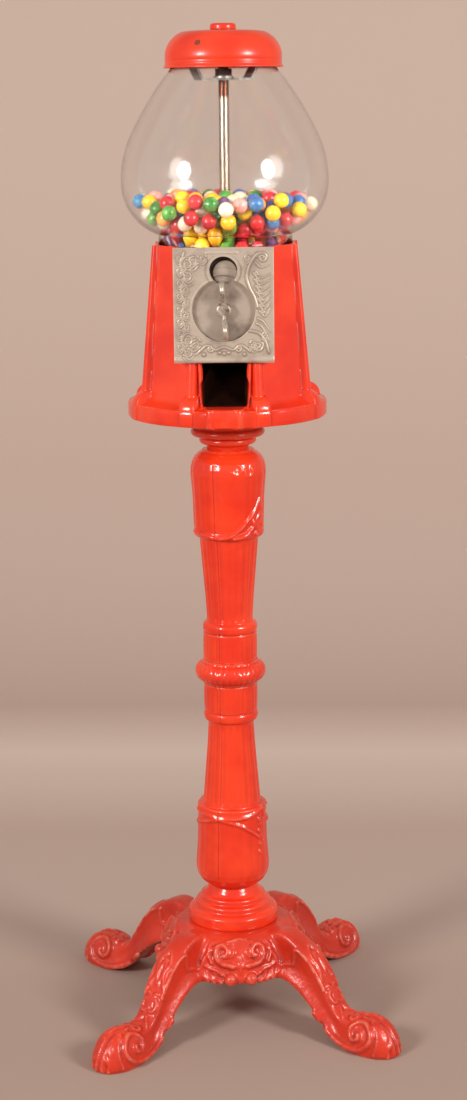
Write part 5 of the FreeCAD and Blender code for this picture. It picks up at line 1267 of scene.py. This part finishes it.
def make_coin_seat(name, body, back, nearest, farthest):
    """The part of a thin disc behind the hole that lies between two distances from the axle."""
    offset, groove = COIN_Z - SEAT_DROP - AXLE_Z, COIN_Z - GROOVE_DROP - AXLE_Z
    middle, aim = math.hypot(SEAT_X, offset), math.atan2(SEAT_X, offset)
    radii = middle + SEAT_RADIUS * np.sin(np.linspace(-math.pi / 2, math.pi / 2, 41))
    nearest, farthest = max(nearest, radii[0]), min(farthest, radii[-1])
    sides = [groove + side * half for half in GROOVE_HALF for side in (-1, 1)]
    rows = []
    for radius in np.unique(np.clip([*radii, *sides], nearest, farthest)):
        front = SEAT_LEDGE if radius < groove else SEAT_FRONT
        front = SEAT_BACK - GROOVE_SKIN if abs(radius - groove) < sum(GROOVE_HALF) / 2 else front
        share = (radius ** 2 + middle ** 2 - SEAT_RADIUS ** 2) / (2 * radius * middle)
        angle = aim + math.acos(min(share, 1 - 1e-6)) * np.linspace(-1, 1, 13)
        line = list(zip(radius * np.sin(angle), AXLE_Z + radius * np.cos(angle)))
        rows.append([(x, front, z) for x, z in line] + [(x, back, z) for x, z in line[::-1]])
    return piece(closed_rows(name, rows), WHEEL_ZINC, body)


make_coin_seat("coin_notch_floor", "handle", SEAT_BACK, 0, COIN_WHEEL_RADIUS - RIM_GAP)
make_coin_seat("coin_notch_ledge", "machine", TRAY_FLOOR, COIN_WHEEL_RADIUS + RIM_GAP, 2 * COIN_WHEEL_RADIUS)

# %% [markdown]
# ## Leaf spring of the pawl
# A strip of spring steel presses the pawl onto the coin wheel. On the real machine it is held at one end
# and gives way at the other; here it is one rigid bent strip that rides on no body, and a rigid strip would
# cut into the pawl as it swings.

# %% Bent leaf
SPRING_BEND, SPRING_SHEET, SPRING_STEPS = 25.5, 0.5, 17


def make_pawl_spring():
    """A bent leaf: its flat end stays under the tray's rim and it bends down to its tip."""
    low, high = span("pawl_spring")
    lines = []
    for sheet in (0, SPRING_SHEET):
        bend = np.array([SPRING_BEND + sheet, high[2] - sheet])
        fall = np.array([low[0] + sheet, low[2]]) - bend
        root = (high[0], high[2] - sheet)
        lines.append([root] + [bend + fall * share for share in np.linspace(0, 1, SPRING_STEPS)])
    sides = ((0, low[1]), (0, high[1]), (1, high[1]), (1, low[1]))
    rows = [[(pair[face][0], y, pair[face][1]) for face, y in sides] for pair in zip(*lines)]
    obj = closed_rows("pawl_leaf_spring", rows)
    obj.data.materials.append(STEEL)
    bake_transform(obj)
    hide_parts("pawl_spring")
    print(f"{obj.name}: {len(obj.data.polygons)} faces from machine to pawl")


make_pawl_spring()

# %% [markdown]
# ## Handle
# The handle is a hub with two wings. Each wing is thin at the hub, swells where the fingers press and
# falls off towards its end, and the whole handle leans a few degrees, as it was left. A wing is a row of
# cross-sections: three short tables say how tall and how thick it is, which a scaled box could not follow.

# %% Wing handle
HANDLE_FOOT = float(span("turn_handle")[1][1])
HANDLE_LEAN = math.radians(4)


def wing(direction):
    along = np.array([4, 7, 9.5, 12, 15, 18, 21, 23.5, 25.2, 26.0])
    height = np.array([8.6, 8.8, 10.4, 12.6, 14.6, 15.3, 14.6, 12.8, 10.4, 7.8])
    half = np.array([2.2, 2.2, 2.3, 2.5, 2.7, 2.7, 2.6, 2.5, 2.2, 1.6])
    section = [(-1, 0), (-1.02, 0.35), (-1.0, 0.68), (-0.82, 0.88), (-0.42, 0.985), (0, 1), (0.42, 0.985),
               (0.82, 0.88), (1.0, 0.68), (1.02, 0.35), (1, 0)]
    rows = []
    for s in np.linspace(along[0], along[-1], 34):
        t, h = np.interp(s, along, half), np.interp(s, along, height)
        rows.append([(side * t, HANDLE_FOOT - up * h, AXLE_Z + direction * s) for side, up in section])
    return closed_rows("wing", rows)


def hub():
    outline = rounded([(0, 0.02), (6.9, 0.02), (6.9, 5.2), (6.3, 7.4), (5.2, 7.9), (4.8, 8.5), (0, 8.8)], 0.5)
    obj = lathe("hub", outline, 72)
    points = read_points(obj)
    write_points(obj, np.stack([points[:, 0], HANDLE_FOOT - points[:, 2], AXLE_Z + points[:, 1]], axis=1))
    return tidy(obj)


def make_handle():
    obj = join("wing_handle", hub(), wing(1), wing(-1))
    points = read_points(obj)
    turn_points(points, HANDLE_LEAN, 2, AXLE_Z)
    write_points(obj, points)
    return piece(obj, HANDLE_ZINC, "handle", ["turn_handle"])


make_handle()

# %% [markdown]
# ## Globe
# The globe is blown glass that narrows to a neck below and a mouth above. It is turned from arcs that run
# into each other. It has a true inside and outside wall, so it bends light as thick glass does; a single
# skin would look like a solid lump of glass.

# %% Glass
GLASS_WALL = 2.2
NECK_TOP, WIDE_Z, SHOULDER_Z, MOUTH_Z = 753.5, 801.0, 844.0, 903.5
NECK, WIDE, SHOULDER, MOUTH, UPPER_BEND = 61.2, 94.6, 84.5, 46.0, 280


def arc_between(start, end, radius, steps=20):
    """Points after start up to end on an arc that bulges away from the axis."""
    start, end = np.array(start, float), np.array(end, float)
    chord = end - start
    length = np.linalg.norm(chord)
    outwards = np.array([chord[1], -chord[0]]) / length * np.sign(chord[1])
    centre = (start + end) / 2 - outwards * math.sqrt(max(radius ** 2 - length ** 2 / 4, 0))
    first, last = start - centre, end - centre
    a, b = math.atan2(first[1], first[0]), math.atan2(last[1], last[0])
    return [centre + radius * np.array([math.cos(t), math.sin(t)]) for t in np.linspace(a, b, steps)[1:]]


def glass_side(inset, foot):
    """Globe wall from the lower neck up to the mouth."""
    neck, wide, shoulder, mouth = (radius - inset for radius in (NECK, WIDE, SHOULDER, MOUTH))
    bends = [((wide - radius) ** 2 + rise ** 2) / (2 * (wide - radius))
             for radius, rise in ((neck, WIDE_Z - foot), (shoulder, SHOULDER_Z - WIDE_Z))]
    line = [np.array([neck, foot])]
    for end, bend in zip(((wide, WIDE_Z), (shoulder, SHOULDER_Z), (mouth, MOUTH_Z)), (*bends, UPPER_BEND)):
        line += arc_between(line[-1], end, bend)
    return line


def make_globe():
    foot, top = heights("globe")
    outside, inside = glass_side(0, NECK_TOP), glass_side(GLASS_WALL, NECK_TOP + GLASS_WALL)
    outline = [(NECK - GLASS_WALL, foot), (NECK, foot), *outside, (MOUTH, top - 1), (MOUTH - 0.6, top),
               (MOUTH + 0.6 - GLASS_WALL, top), (MOUTH - GLASS_WALL, top - 1), *inside[::-1]]
    obj = lathe("globe_glass_wall", np.array([tuple(p) for p in outline]), 192)
    return piece(obj, GLASS, stands_for=["globe"])


make_globe()

# %% [markdown]
# ## Lid and knob
# The lid is a thin painted cap with two grooves above its edge, and the knob a low button that holds it
# down. Both are turned like the mouldings. The lid has a true underside, because it lifts off and can then
# be seen from below.

# %% Cap and button
LID_WALL, LID_SIDE, LID_EDGE, LID_BEND, ROD_HOLE = 1.2, 52.8, 37.0, 24.0, 5.1


def make_lid():
    foot, top = heights("lid")
    side, eave = foot + 11, top - 1.5
    outside = [(LID_SIDE + 1, foot), (LID_SIDE + 1, foot + 1.0), (LID_SIDE + 0.6, foot + 1.7),
               (LID_SIDE, foot + 2.2)]
    for groove in (foot + 4.0, foot + 6.5):
        outside += [(LID_SIDE, groove - 0.6), (LID_SIDE - 0.35, groove), (LID_SIDE, groove + 0.6)]
    outside.append((LID_SIDE, side))
    outside += arc_between((LID_SIDE, side), (LID_EDGE, eave), LID_BEND, 24)
    outside += [(30, top - 0.75), (12.8, top), (ROD_HOLE, top)]
    inner, under = LID_SIDE - LID_WALL, eave - LID_WALL
    inside = [(ROD_HOLE, top - LID_WALL), (12.8, top - LID_WALL), (LID_EDGE, under)]
    inside += arc_between((inner, side), (LID_EDGE, under), LID_BEND - LID_WALL, 24)[-2::-1]
    inside += [(inner, side), (inner, foot)]
    outline = np.array([tuple(p) for p in outside + inside])
    return piece(lathe("lid_shell", outline, 160), LID_ENAMEL, "lid", ["lid"])


def make_knob():
    foot, top = heights("lid_knob")
    outline = rounded([(ROD_HOLE, foot), (11.8, foot), (11.8, top - 1.6), (10.2, top), (0, top), (0, top - 2),
                       (ROD_HOLE, top - 2)], 0.8)
    return piece(lathe("knob_button", outline, 96), LID_ENAMEL, "knob", ["lid_knob"])


make_lid()
make_knob()

# %% [markdown]
# ## Gumballs
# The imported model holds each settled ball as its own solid. Their middles become points, and a Geometry
# Nodes tree puts a smooth ball on every point, each a touch smaller than the gap allows. Colour by
# colour this gives one piece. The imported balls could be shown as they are, but their facets would catch
# the light.

# %% Gumball tree
GUM_RADIUS, GUM_SMALLEST, GUM_SEED = 7, 0.985, 7


def make_gumball_tree():
    tree, given, result = geometry_tree("gumballs", [("Radius", GUM_RADIUS * MM), ("Smallest", GUM_SMALLEST)])
    ball = geometry_node(tree, "MeshIcoSphere", {"Subdivisions": 3, "Radius": given.outputs["Radius"]})
    # sockets 2 and 3 are the lowest and highest number, output 1 is the number drawn
    size = add_node(tree, "RandomValue", {2: given.outputs["Smallest"], 3: 1.0, "Seed": GUM_SEED},
                    "FunctionNode", data_type="FLOAT").outputs[1]
    put = geometry_node(tree, "InstanceOnPoints", {"Points": given.outputs["Geometry"],
                                                   "Instance": ball.outputs["Mesh"], "Scale": size})
    smooth = geometry_node(tree, "SetShadeSmooth", {"Geometry": put.outputs["Instances"]})
    finish_tree(tree, given, result, smooth.outputs["Geometry"])
    return tree


GUMBALLS = make_gumball_tree()


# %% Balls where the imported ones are
def ball_middles(node):
    """Middle of every separate ball in a CAD node."""
    work = bmesh.new()
    work.from_mesh(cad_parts[node].data)
    bmesh.ops.remove_doubles(work, verts=work.verts, dist=0.001 * MM)
    seen, middles = set(), []
    for first in work.verts:
        if first in seen:
            continue
        seen.add(first)
        island, queue = [], [first]
        while queue:
            vert = queue.pop()
            island.append(vert.co)
            for edge in vert.link_edges:
                other = edge.other_vert(vert)
                if other not in seen:
                    seen.add(other)
                    queue.append(other)
        corners = np.array(island)
        middles.append((corners.min(axis=0) + corners.max(axis=0)) / 2)
    work.free()
    return np.array(middles) / MM


def make_gumballs(node, colour, body="machine"):
    obj = mesh_object("balls_" + node, ball_middles(node), [])
    run_tree(obj, GUMBALLS, Radius=GUM_RADIUS * MM, Smallest=GUM_SMALLEST, Finish=GUM[colour])
    bake(obj)
    return piece(obj, GUM[colour], body, [node])


for label in GUM_COLOURS:
    make_gumballs("gumballs_" + label, label)
make_gumballs("wheel_gumballs", "yellow", "dispenser")

# %% [markdown]
# ## Leg casting: the plain shape
# The four legs and the bell they meet in are one casting. One leg is lofted from outlines along its
# length: a swelling S from the hub down to the ankle, then a foot that is a dome with a round toe. A
# Geometry Nodes tree sets it out four times. A voxel remesh turns overlapping shapes into one skin of
# even small faces. All of this is drawn with a leg along +X and turned into place at the end.

# %% Plain leg
LEG_REACH, ANKLE, HUB_SEAT = 194.8, 139.0, 50.0
ANKLE_Z, FOOT_Z, SEAT_Z = 28.5, 31.0, float(heights("plinth")[0])
LEG_WIDE, FOOT_WIDE, FOOT_CREST = 17.4, 20.0, 167.0
SWELL, SWELL_AT, SWELL_WIDE, LEG_FALL = 4.0, 68.0, 14, 2.2
TOE_DROP, TOE_NARROWS = 0.97, 0.95
APRON_EDGE, APRON_Z = 73.0, 50.5
LEG_TURN = math.radians(45 + 6.8)
PLAIN_VOXEL, PLAIN_ROUNDS, CAST_VOXEL, CAST_ROUNDS = 1.4, 14, 1.2, 2
# Half outlines as (share of the half width, share of the height), from the lower edge up.
LEG_HALF = [(1.0, 0.0), (1.04, 0.05), (1.02, 0.12), (0.86, 0.24), (0.70, 0.42), (0.66, 0.62), (0.69, 0.82),
            (0.68, 0.93), (0.58, 0.985), (0.36, 1.0)]
FOOT_HALF = [(0.98, 0.0), (1.02, 0.10), (1.02, 0.22), (1.0, 0.36), (0.97, 0.50), (0.90, 0.64), (0.78, 0.78),
             (0.62, 0.89), (0.44, 0.965), (0.22, 1.0)]


def leg_top(r):
    """Height of the upper face: a swelling S to the ankle, then the foot."""
    if r <= ANKLE:
        share = max(r - HUB_SEAT + 6, 0) / (ANKLE - HUB_SEAT + 6)
        swell = SWELL * math.exp(-((r - SWELL_AT) / SWELL_WIDE) ** 2)
        return ANKLE_Z + (SEAT_Z - 1 - ANKLE_Z) * 0.5 * (1 + math.cos(math.pi * share ** LEG_FALL)) + swell
    if r <= FOOT_CREST:
        share = (r - ANKLE) / (FOOT_CREST - ANKLE)
        return ANKLE_Z + (FOOT_Z - ANKLE_Z) * 0.5 * (1 - math.cos(math.pi * share))
    past = (r - FOOT_CREST) / (LEG_REACH - FOOT_CREST)
    return FOOT_Z * math.sqrt(max(1 - TOE_DROP * past ** 2, 0.01))


def leg_bottom(r):
    """Height of the lower edge; the sole dips below the floor and is cut flat there."""
    share = min(max((r - APRON_EDGE + 4) / (ANKLE + 24 - APRON_EDGE), 0), 1)
    return (APRON_Z + 2) * 0.5 * (1 + math.cos(math.pi * share)) - 2


def leg_outline(r):
    share = min(max((r - ANKLE + 8) / (FOOT_CREST - ANKLE + 8), 0), 1)
    foot = math.sin(math.pi / 2 * share)
    past = max((r - FOOT_CREST) / (LEG_REACH - FOOT_CREST), 0)
    wide = (LEG_WIDE + (FOOT_WIDE - LEG_WIDE) * foot ** 2) * math.sqrt(1 - TOE_NARROWS * past * past)
    top, low = leg_top(r), leg_bottom(r)
    half = (1 - foot) * np.array(LEG_HALF) + foot * np.array(FOOT_HALF)
    half = half * [wide, top - low] + [0, low]
    return [(r, y, z) for y, z in half] + [(r, -y, z) for y, z in half[::-1]]


def plain_leg():
    stations = np.concatenate([np.linspace(HUB_SEAT - 12, ANKLE, 26), np.linspace(ANKLE, LEG_REACH, 30)[1:]])
    return closed_rows("leg", [leg_outline(r) for r in stations])


# %% Legs and bell as one skin
def make_round_tree():
    tree, given, result = geometry_tree("set_out_round", [("Count", 4.0)])
    points = geometry_node(tree, "Points", {"Count": given.outputs["Count"]})
    share = math_node(tree, "DIVIDE", geometry_node(tree, "InputIndex").outputs[0], given.outputs["Count"])
    turn = add_node(tree, "CombineXYZ", {"Z": math_node(tree, "MULTIPLY", share, 2 * math.pi)})
    put = geometry_node(tree, "InstanceOnPoints", {"Points": points.outputs[0], "Rotation": turn.outputs[0],
                                                   "Instance": given.outputs["Geometry"]})
    finish_tree(tree, given, result, put.outputs["Instances"])
    return tree


SET_OUT = make_round_tree()
HUB_BORE, HUB_THICK = 5.4, 12


def four_times(obj):
    return bake(run_tree(obj, SET_OUT, Count=4.0, Finish=LEG_ENAMEL))


def bell():
    floor = SEAT_Z - HUB_THICK
    middle = (HUB_SEAT + APRON_EDGE) / 2
    outline = [(HUB_BORE, SEAT_Z), (HUB_SEAT, SEAT_Z), (middle - 3, SEAT_Z - 4), (middle + 3, floor),
               (middle + 7, SEAT_Z - 22), (APRON_EDGE - 1, APRON_Z + 5), (APRON_EDGE, APRON_Z),
               (APRON_EDGE - 8, APRON_Z), (HUB_SEAT - 2, floor), (HUB_BORE, floor)]
    return lathe("bell", np.array(outline), 128)


def one_skin(obj, voxel, rounds):
    """Merge overlapping closed shapes into one skin and ease it."""
    skin = obj.modifiers.new("one_skin", "REMESH")
    skin.mode, skin.voxel_size = "VOXEL", voxel * MM
    ease = obj.modifiers.new("ease", "SMOOTH")
    ease.factor, ease.iterations = 0.5, rounds
    return bake(obj)


def plain_casting():
    return one_skin(join("plain_legs", four_times(plain_leg()), bell()), PLAIN_VOXEL, PLAIN_ROUNDS)


# %% [markdown]
# ## Leg casting: the ornament
# The carving on the legs is bold, so here the cords are real tubes. Each line is laid onto the plain
# skin by looking at it from one side: from beside the foot, from above the leg or from in front of the
# apron. The tube sinks into the skin and stands out by its rise. Legs are alike and alike on both
# sides: one half is drawn, mirrored, set out four times and melted into the casting.

# %% Cords on the skin
LOOK_FROM = 0.2  # metres before a line, where looking along its direction starts


def laid(skin, line, look):
    """Points and normals where a line, moved along a direction, meets the skin."""
    look = Vector(look).normalized()
    hits = [skin.ray_cast(Vector(point) * MM - look * LOOK_FROM, look) for point in line]
    hits = [hit for hit in hits if hit[0] is not None]
    return np.array([hit[0] for hit in hits]) / MM, np.array([hit[1] for hit in hits])


def unit(vectors):
    return vectors / np.maximum(np.linalg.norm(vectors, axis=1), 1e-9)[:, None]


def cord(points, normals, radius, rise, taper, sides=8):
    """A closed tube along the skin that stands out of it by rise."""
    along = unit(np.gradient(points, axis=0))
    across = unit(np.cross(along, normals))
    up = np.cross(across, along)
    thin = 1 - taper * np.linspace(0, 1, len(points))
    middles = points + up * ((rise - radius) * thin)[:, None]
    thick = radius * thin
    order = np.concatenate([[0], np.arange(len(points)), [-1]])
    middles, thick, up, across, along = middles[order], thick[order], up[order], across[order], along[order]
    middles[0] -= along[0] * thick[0] * 0.7
    middles[-1] += along[-1] * thick[-1] * 0.7
    thick[[0, -1]] *= 0.5
    turns = np.linspace(0, 2 * math.pi, sides, endpoint=False)
    spokes = np.cos(turns)[None, :, None] * up[:, None] + np.sin(turns)[None, :, None] * across[:, None]
    return closed_rows("cord", middles[:, None] + thick[:, None, None] * spokes)


def ball(place, radius):
    work = bmesh.new()
    bmesh.ops.create_icosphere(work, subdivisions=2, radius=radius * MM)
    bmesh.ops.translate(work, verts=work.verts, vec=Vector(place) * MM)
    mesh = bpy.data.meshes.new("ball")
    work.to_mesh(mesh)
    work.free()
    return object_from("ball", mesh)


# %% Ways to look at the skin
AHEAD = np.array([math.sqrt(0.5), math.sqrt(0.5), 0])
ASIDE = np.array([math.sqrt(0.5), -math.sqrt(0.5), 0])


class Carving:
    """Cords on one half of a leg; each is drawn flat, as seen from one side, and laid on the skin."""

    def __init__(self, skin):
        self.skin, self.parts = skin, []

    def add(self, line, look, radius, rise, taper=0.0):
        points, normals = laid(self.skin, line, look)
        if len(points) > 2:
            self.parts.append(cord(points, normals, radius, rise, taper))

    def beside(self, line, *shape):
        self.add([(r, 0, z) for r, z in line], (0, -1, 0), *shape)

    def above(self, line, *shape):
        self.add([(r, y, 0) for r, y in line], (0, 0, -1), *shape)

    def in_front(self, line, *shape):
        self.add([AHEAD * 60 + ASIDE * s + [0, 0, z] for s, z in line], -AHEAD, *shape)


# %% Ornament of the leg and the foot
def carve_leg(carving):
    """A cord along the edge and round the top of the apron, and a leaf that ends in a scroll."""
    edge = [(119, 10.5), (108, 11), (96, 11.4), (84, 12), (74, 13.5), (66, 17), (60, 22), (54, 28),
            (48.5, 33), (43.5, 36.5), (38.9, 38.9)]
    carving.above(curve_through(edge, 6), 2.2, 1.7)
    carving.above(spiral((124, 4.6), 5.6, 1.6, 1.4, 170), 1.9, 2.1)
    carving.above(curve_through([(92, 1.5), (101, 6.5), (108, 4), (115, 9)]), 2.0, 2.0, 0.3)
    carving.above(curve_through([(98, 0.5), (107, 3), (114, 1)]), 2.0, 1.9, 0.4)
    carving.above(curve_through([(131, 1.5), (136, 6), (141, 10)]), 2.0, 2.0, 0.3)


def carve_foot(carving):
    """A volute on the side, toes, and a small scroll with leaves on top."""
    # the rim runs along the sole, turns up before the toe and rolls in
    rim = [(112, 27), (122, 17), (132, 10), (143, 6), (156, 4.6), (168, 7), (176, 13.5), (176.5, 21.5),
           (170, 28), (161, 28.5), (154.5, 24.5), (154, 18), (158.5, 14), (164, 16), (164, 20)]
    carving.beside(curve_through(rim, 5), 3.3, 3.2, 0.2)
    # toes are ridges from the crest down to the sole
    for number in range(4):
        toe = [(171 + 4 * number, 31 - 1.5 * number), (180 + 3.4 * number, 25 - 2 * number),
               (184 + 2.6 * number, 15 - number), (182 + 2.4 * number, 4)]
        carving.beside(curve_through(toe), 2.7, 2.7, 0.2)
    for side in (3.2, 9.4):
        carving.add([(0, side, z) for z in np.linspace(26, 2, 9)], (-1, 0, 0), 2.5, 2.4)
    carving.above(spiral((151, 6.0), 5.0, 1.8, 1.3, 200), 2.0, 2.2)
    carving.above(curve_through([(158, 2.5), (166, 5), (176, 4), (187, 2.5)]), 2.4, 2.4, 0.2)
    carving.above(curve_through([(160, 9.5), (168, 11), (178, 9.5)]), 2.2, 2.2, 0.3)


# %% Ornament of the apron
def carve_apron(carving):
    """A hollow scroll, a star, a ball and lobes on the lower edge."""
    scroll = [(7, 67.5), (12.5, 69), (19, 71), (22.5, 76.5), (21, 83), (15.5, 85), (11.5, 81.5), (12.5, 77),
              (16, 76.5)]
    carving.in_front(curve_through(scroll), 3.0, 3.4, 0.15)
    carving.in_front(curve_through([(27, 70), (29.5, 76), (28.5, 83), (24, 88)]), 2.2, 2.2, 0.4)
    carving.in_front(curve_through([(9, 76), (6.5, 80), (8, 85)]), 2.2, 2.2, 0.4)
    carving.in_front([(0, z) for z in (76, 72, 68, 64, 61)], 2.4, 2.0, 0.3)
    carving.in_front([(s, 67 + 0.2 * s) for s in (0, 2, 4, 6, 8)], 2.4, 1.9, 0.5)
    carving.in_front(curve_through([(17, 60), (23, 63.5), (30, 65), (36, 68)]), 2.0, 2.0, 0.4)
    carving.parts.append(ball(AHEAD * (APRON_EDGE - 1.5) + ASIDE * 9.8 + [0, 0, APRON_Z + 5.0], 6.4))
    for foot, tip in (((18, 52.5), (25, 61)), ((24, 53), (32, 62)), ((30, 54), (38.5, 63))):
        bow = ((foot[0] + tip[0]) / 2 + 1.5, (foot[1] + tip[1]) / 2 - 1)
        carving.in_front(curve_through([foot, bow, tip]), 3.2, 2.4, 0.5)


def half_ornament(skin):
    """One half of a leg's carving, and of the apron up to the next leg."""
    carving = Carving(skin)
    for carve in (carve_leg, carve_foot, carve_apron):
        carve(carving)
    return join("half_ornament", *carving.parts)


def mirrored(obj):
    """The same shape on the other side of the leg."""
    mesh = obj.data.copy()
    mesh.transform(Matrix.Scale(-1, 4, (0, 1, 0)))
    mesh.flip_normals()
    return object_from("other_half", mesh)


# %% Leg casting
SOLE_SNAP, SEAT_MARGIN = 0.4, 3


def make_legs():
    plain = plain_casting()
    half = half_ornament(BVHTree.FromObject(plain, bpy.context.evaluated_depsgraph_get()))
    ornament = four_times(join("ornament", mirrored(half), half))
    obj = one_skin(join("cast_legs", plain, ornament), CAST_VOXEL, CAST_ROUNDS)
    points = read_points(obj)
    under_plinth = np.hypot(points[:, 0], points[:, 1]) < HUB_SEAT - SEAT_MARGIN
    points[:, 2] = np.where(under_plinth, np.minimum(points[:, 2], SEAT_Z), points[:, 2])
    points[:, 2] = np.where(points[:, 2] < SOLE_SNAP, 0, points[:, 2])
    turn_points(points, LEG_TURN, 1)
    write_points(obj, points)
    return piece(tidy(obj), LEG_ENAMEL, stands_for=["leg_base"])


make_legs()

# %% [markdown]
# ## Imported pieces that keep their shape
# The mechanism, rods, nuts and plates are shown as they were imported. Most of them are hidden by the body
# and the coin plate, and their shapes are plain turned and flat ones, so they only need a finish.

# %% Finishes of the imported pieces
PACKED = {
    ZINC: ["face_plate", "coin_pawl", "drive_pinion"],
    TRAY_SHADED_ZINC: ["coin_back_plate"],
    WHEEL_ZINC: ["coin_wheel"],
    STEEL: ["tie_rod", "tie_washer_lower", "tie_washer_upper", "tie_nut_lower", "tie_nut_upper", "base_plate",
            "base_plate_screws", "face_plate_screws", "handle_axle", "axle_nut", "pawl_pin",
            "hopper_screws", "ball_guard", "rod_anchor_nut", "guard_nut", "clamp_washer", "lid_nut"],
    BAR_STEEL: ["clamp_bar"],
    CHUTE_SHADED_STEEL: ["gum_chute"],
    ROD_STEEL: ["centre_rod"],
    DARK_STEEL: ["clamp_nut"],
    BRASS: ["axle_bush"],
    ALUMINIUM: ["hopper"],
    WHEEL_PLASTIC: ["gum_wheel"],
    RUBBER: ["globe_gasket"],
}
for finish, names in PACKED.items():
    for name in names:
        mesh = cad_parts[name].data
        mesh.materials.clear()
        mesh.materials.append(finish)
print("packed pieces with a finish:", sum(len(names) for names in PACKED.values()))
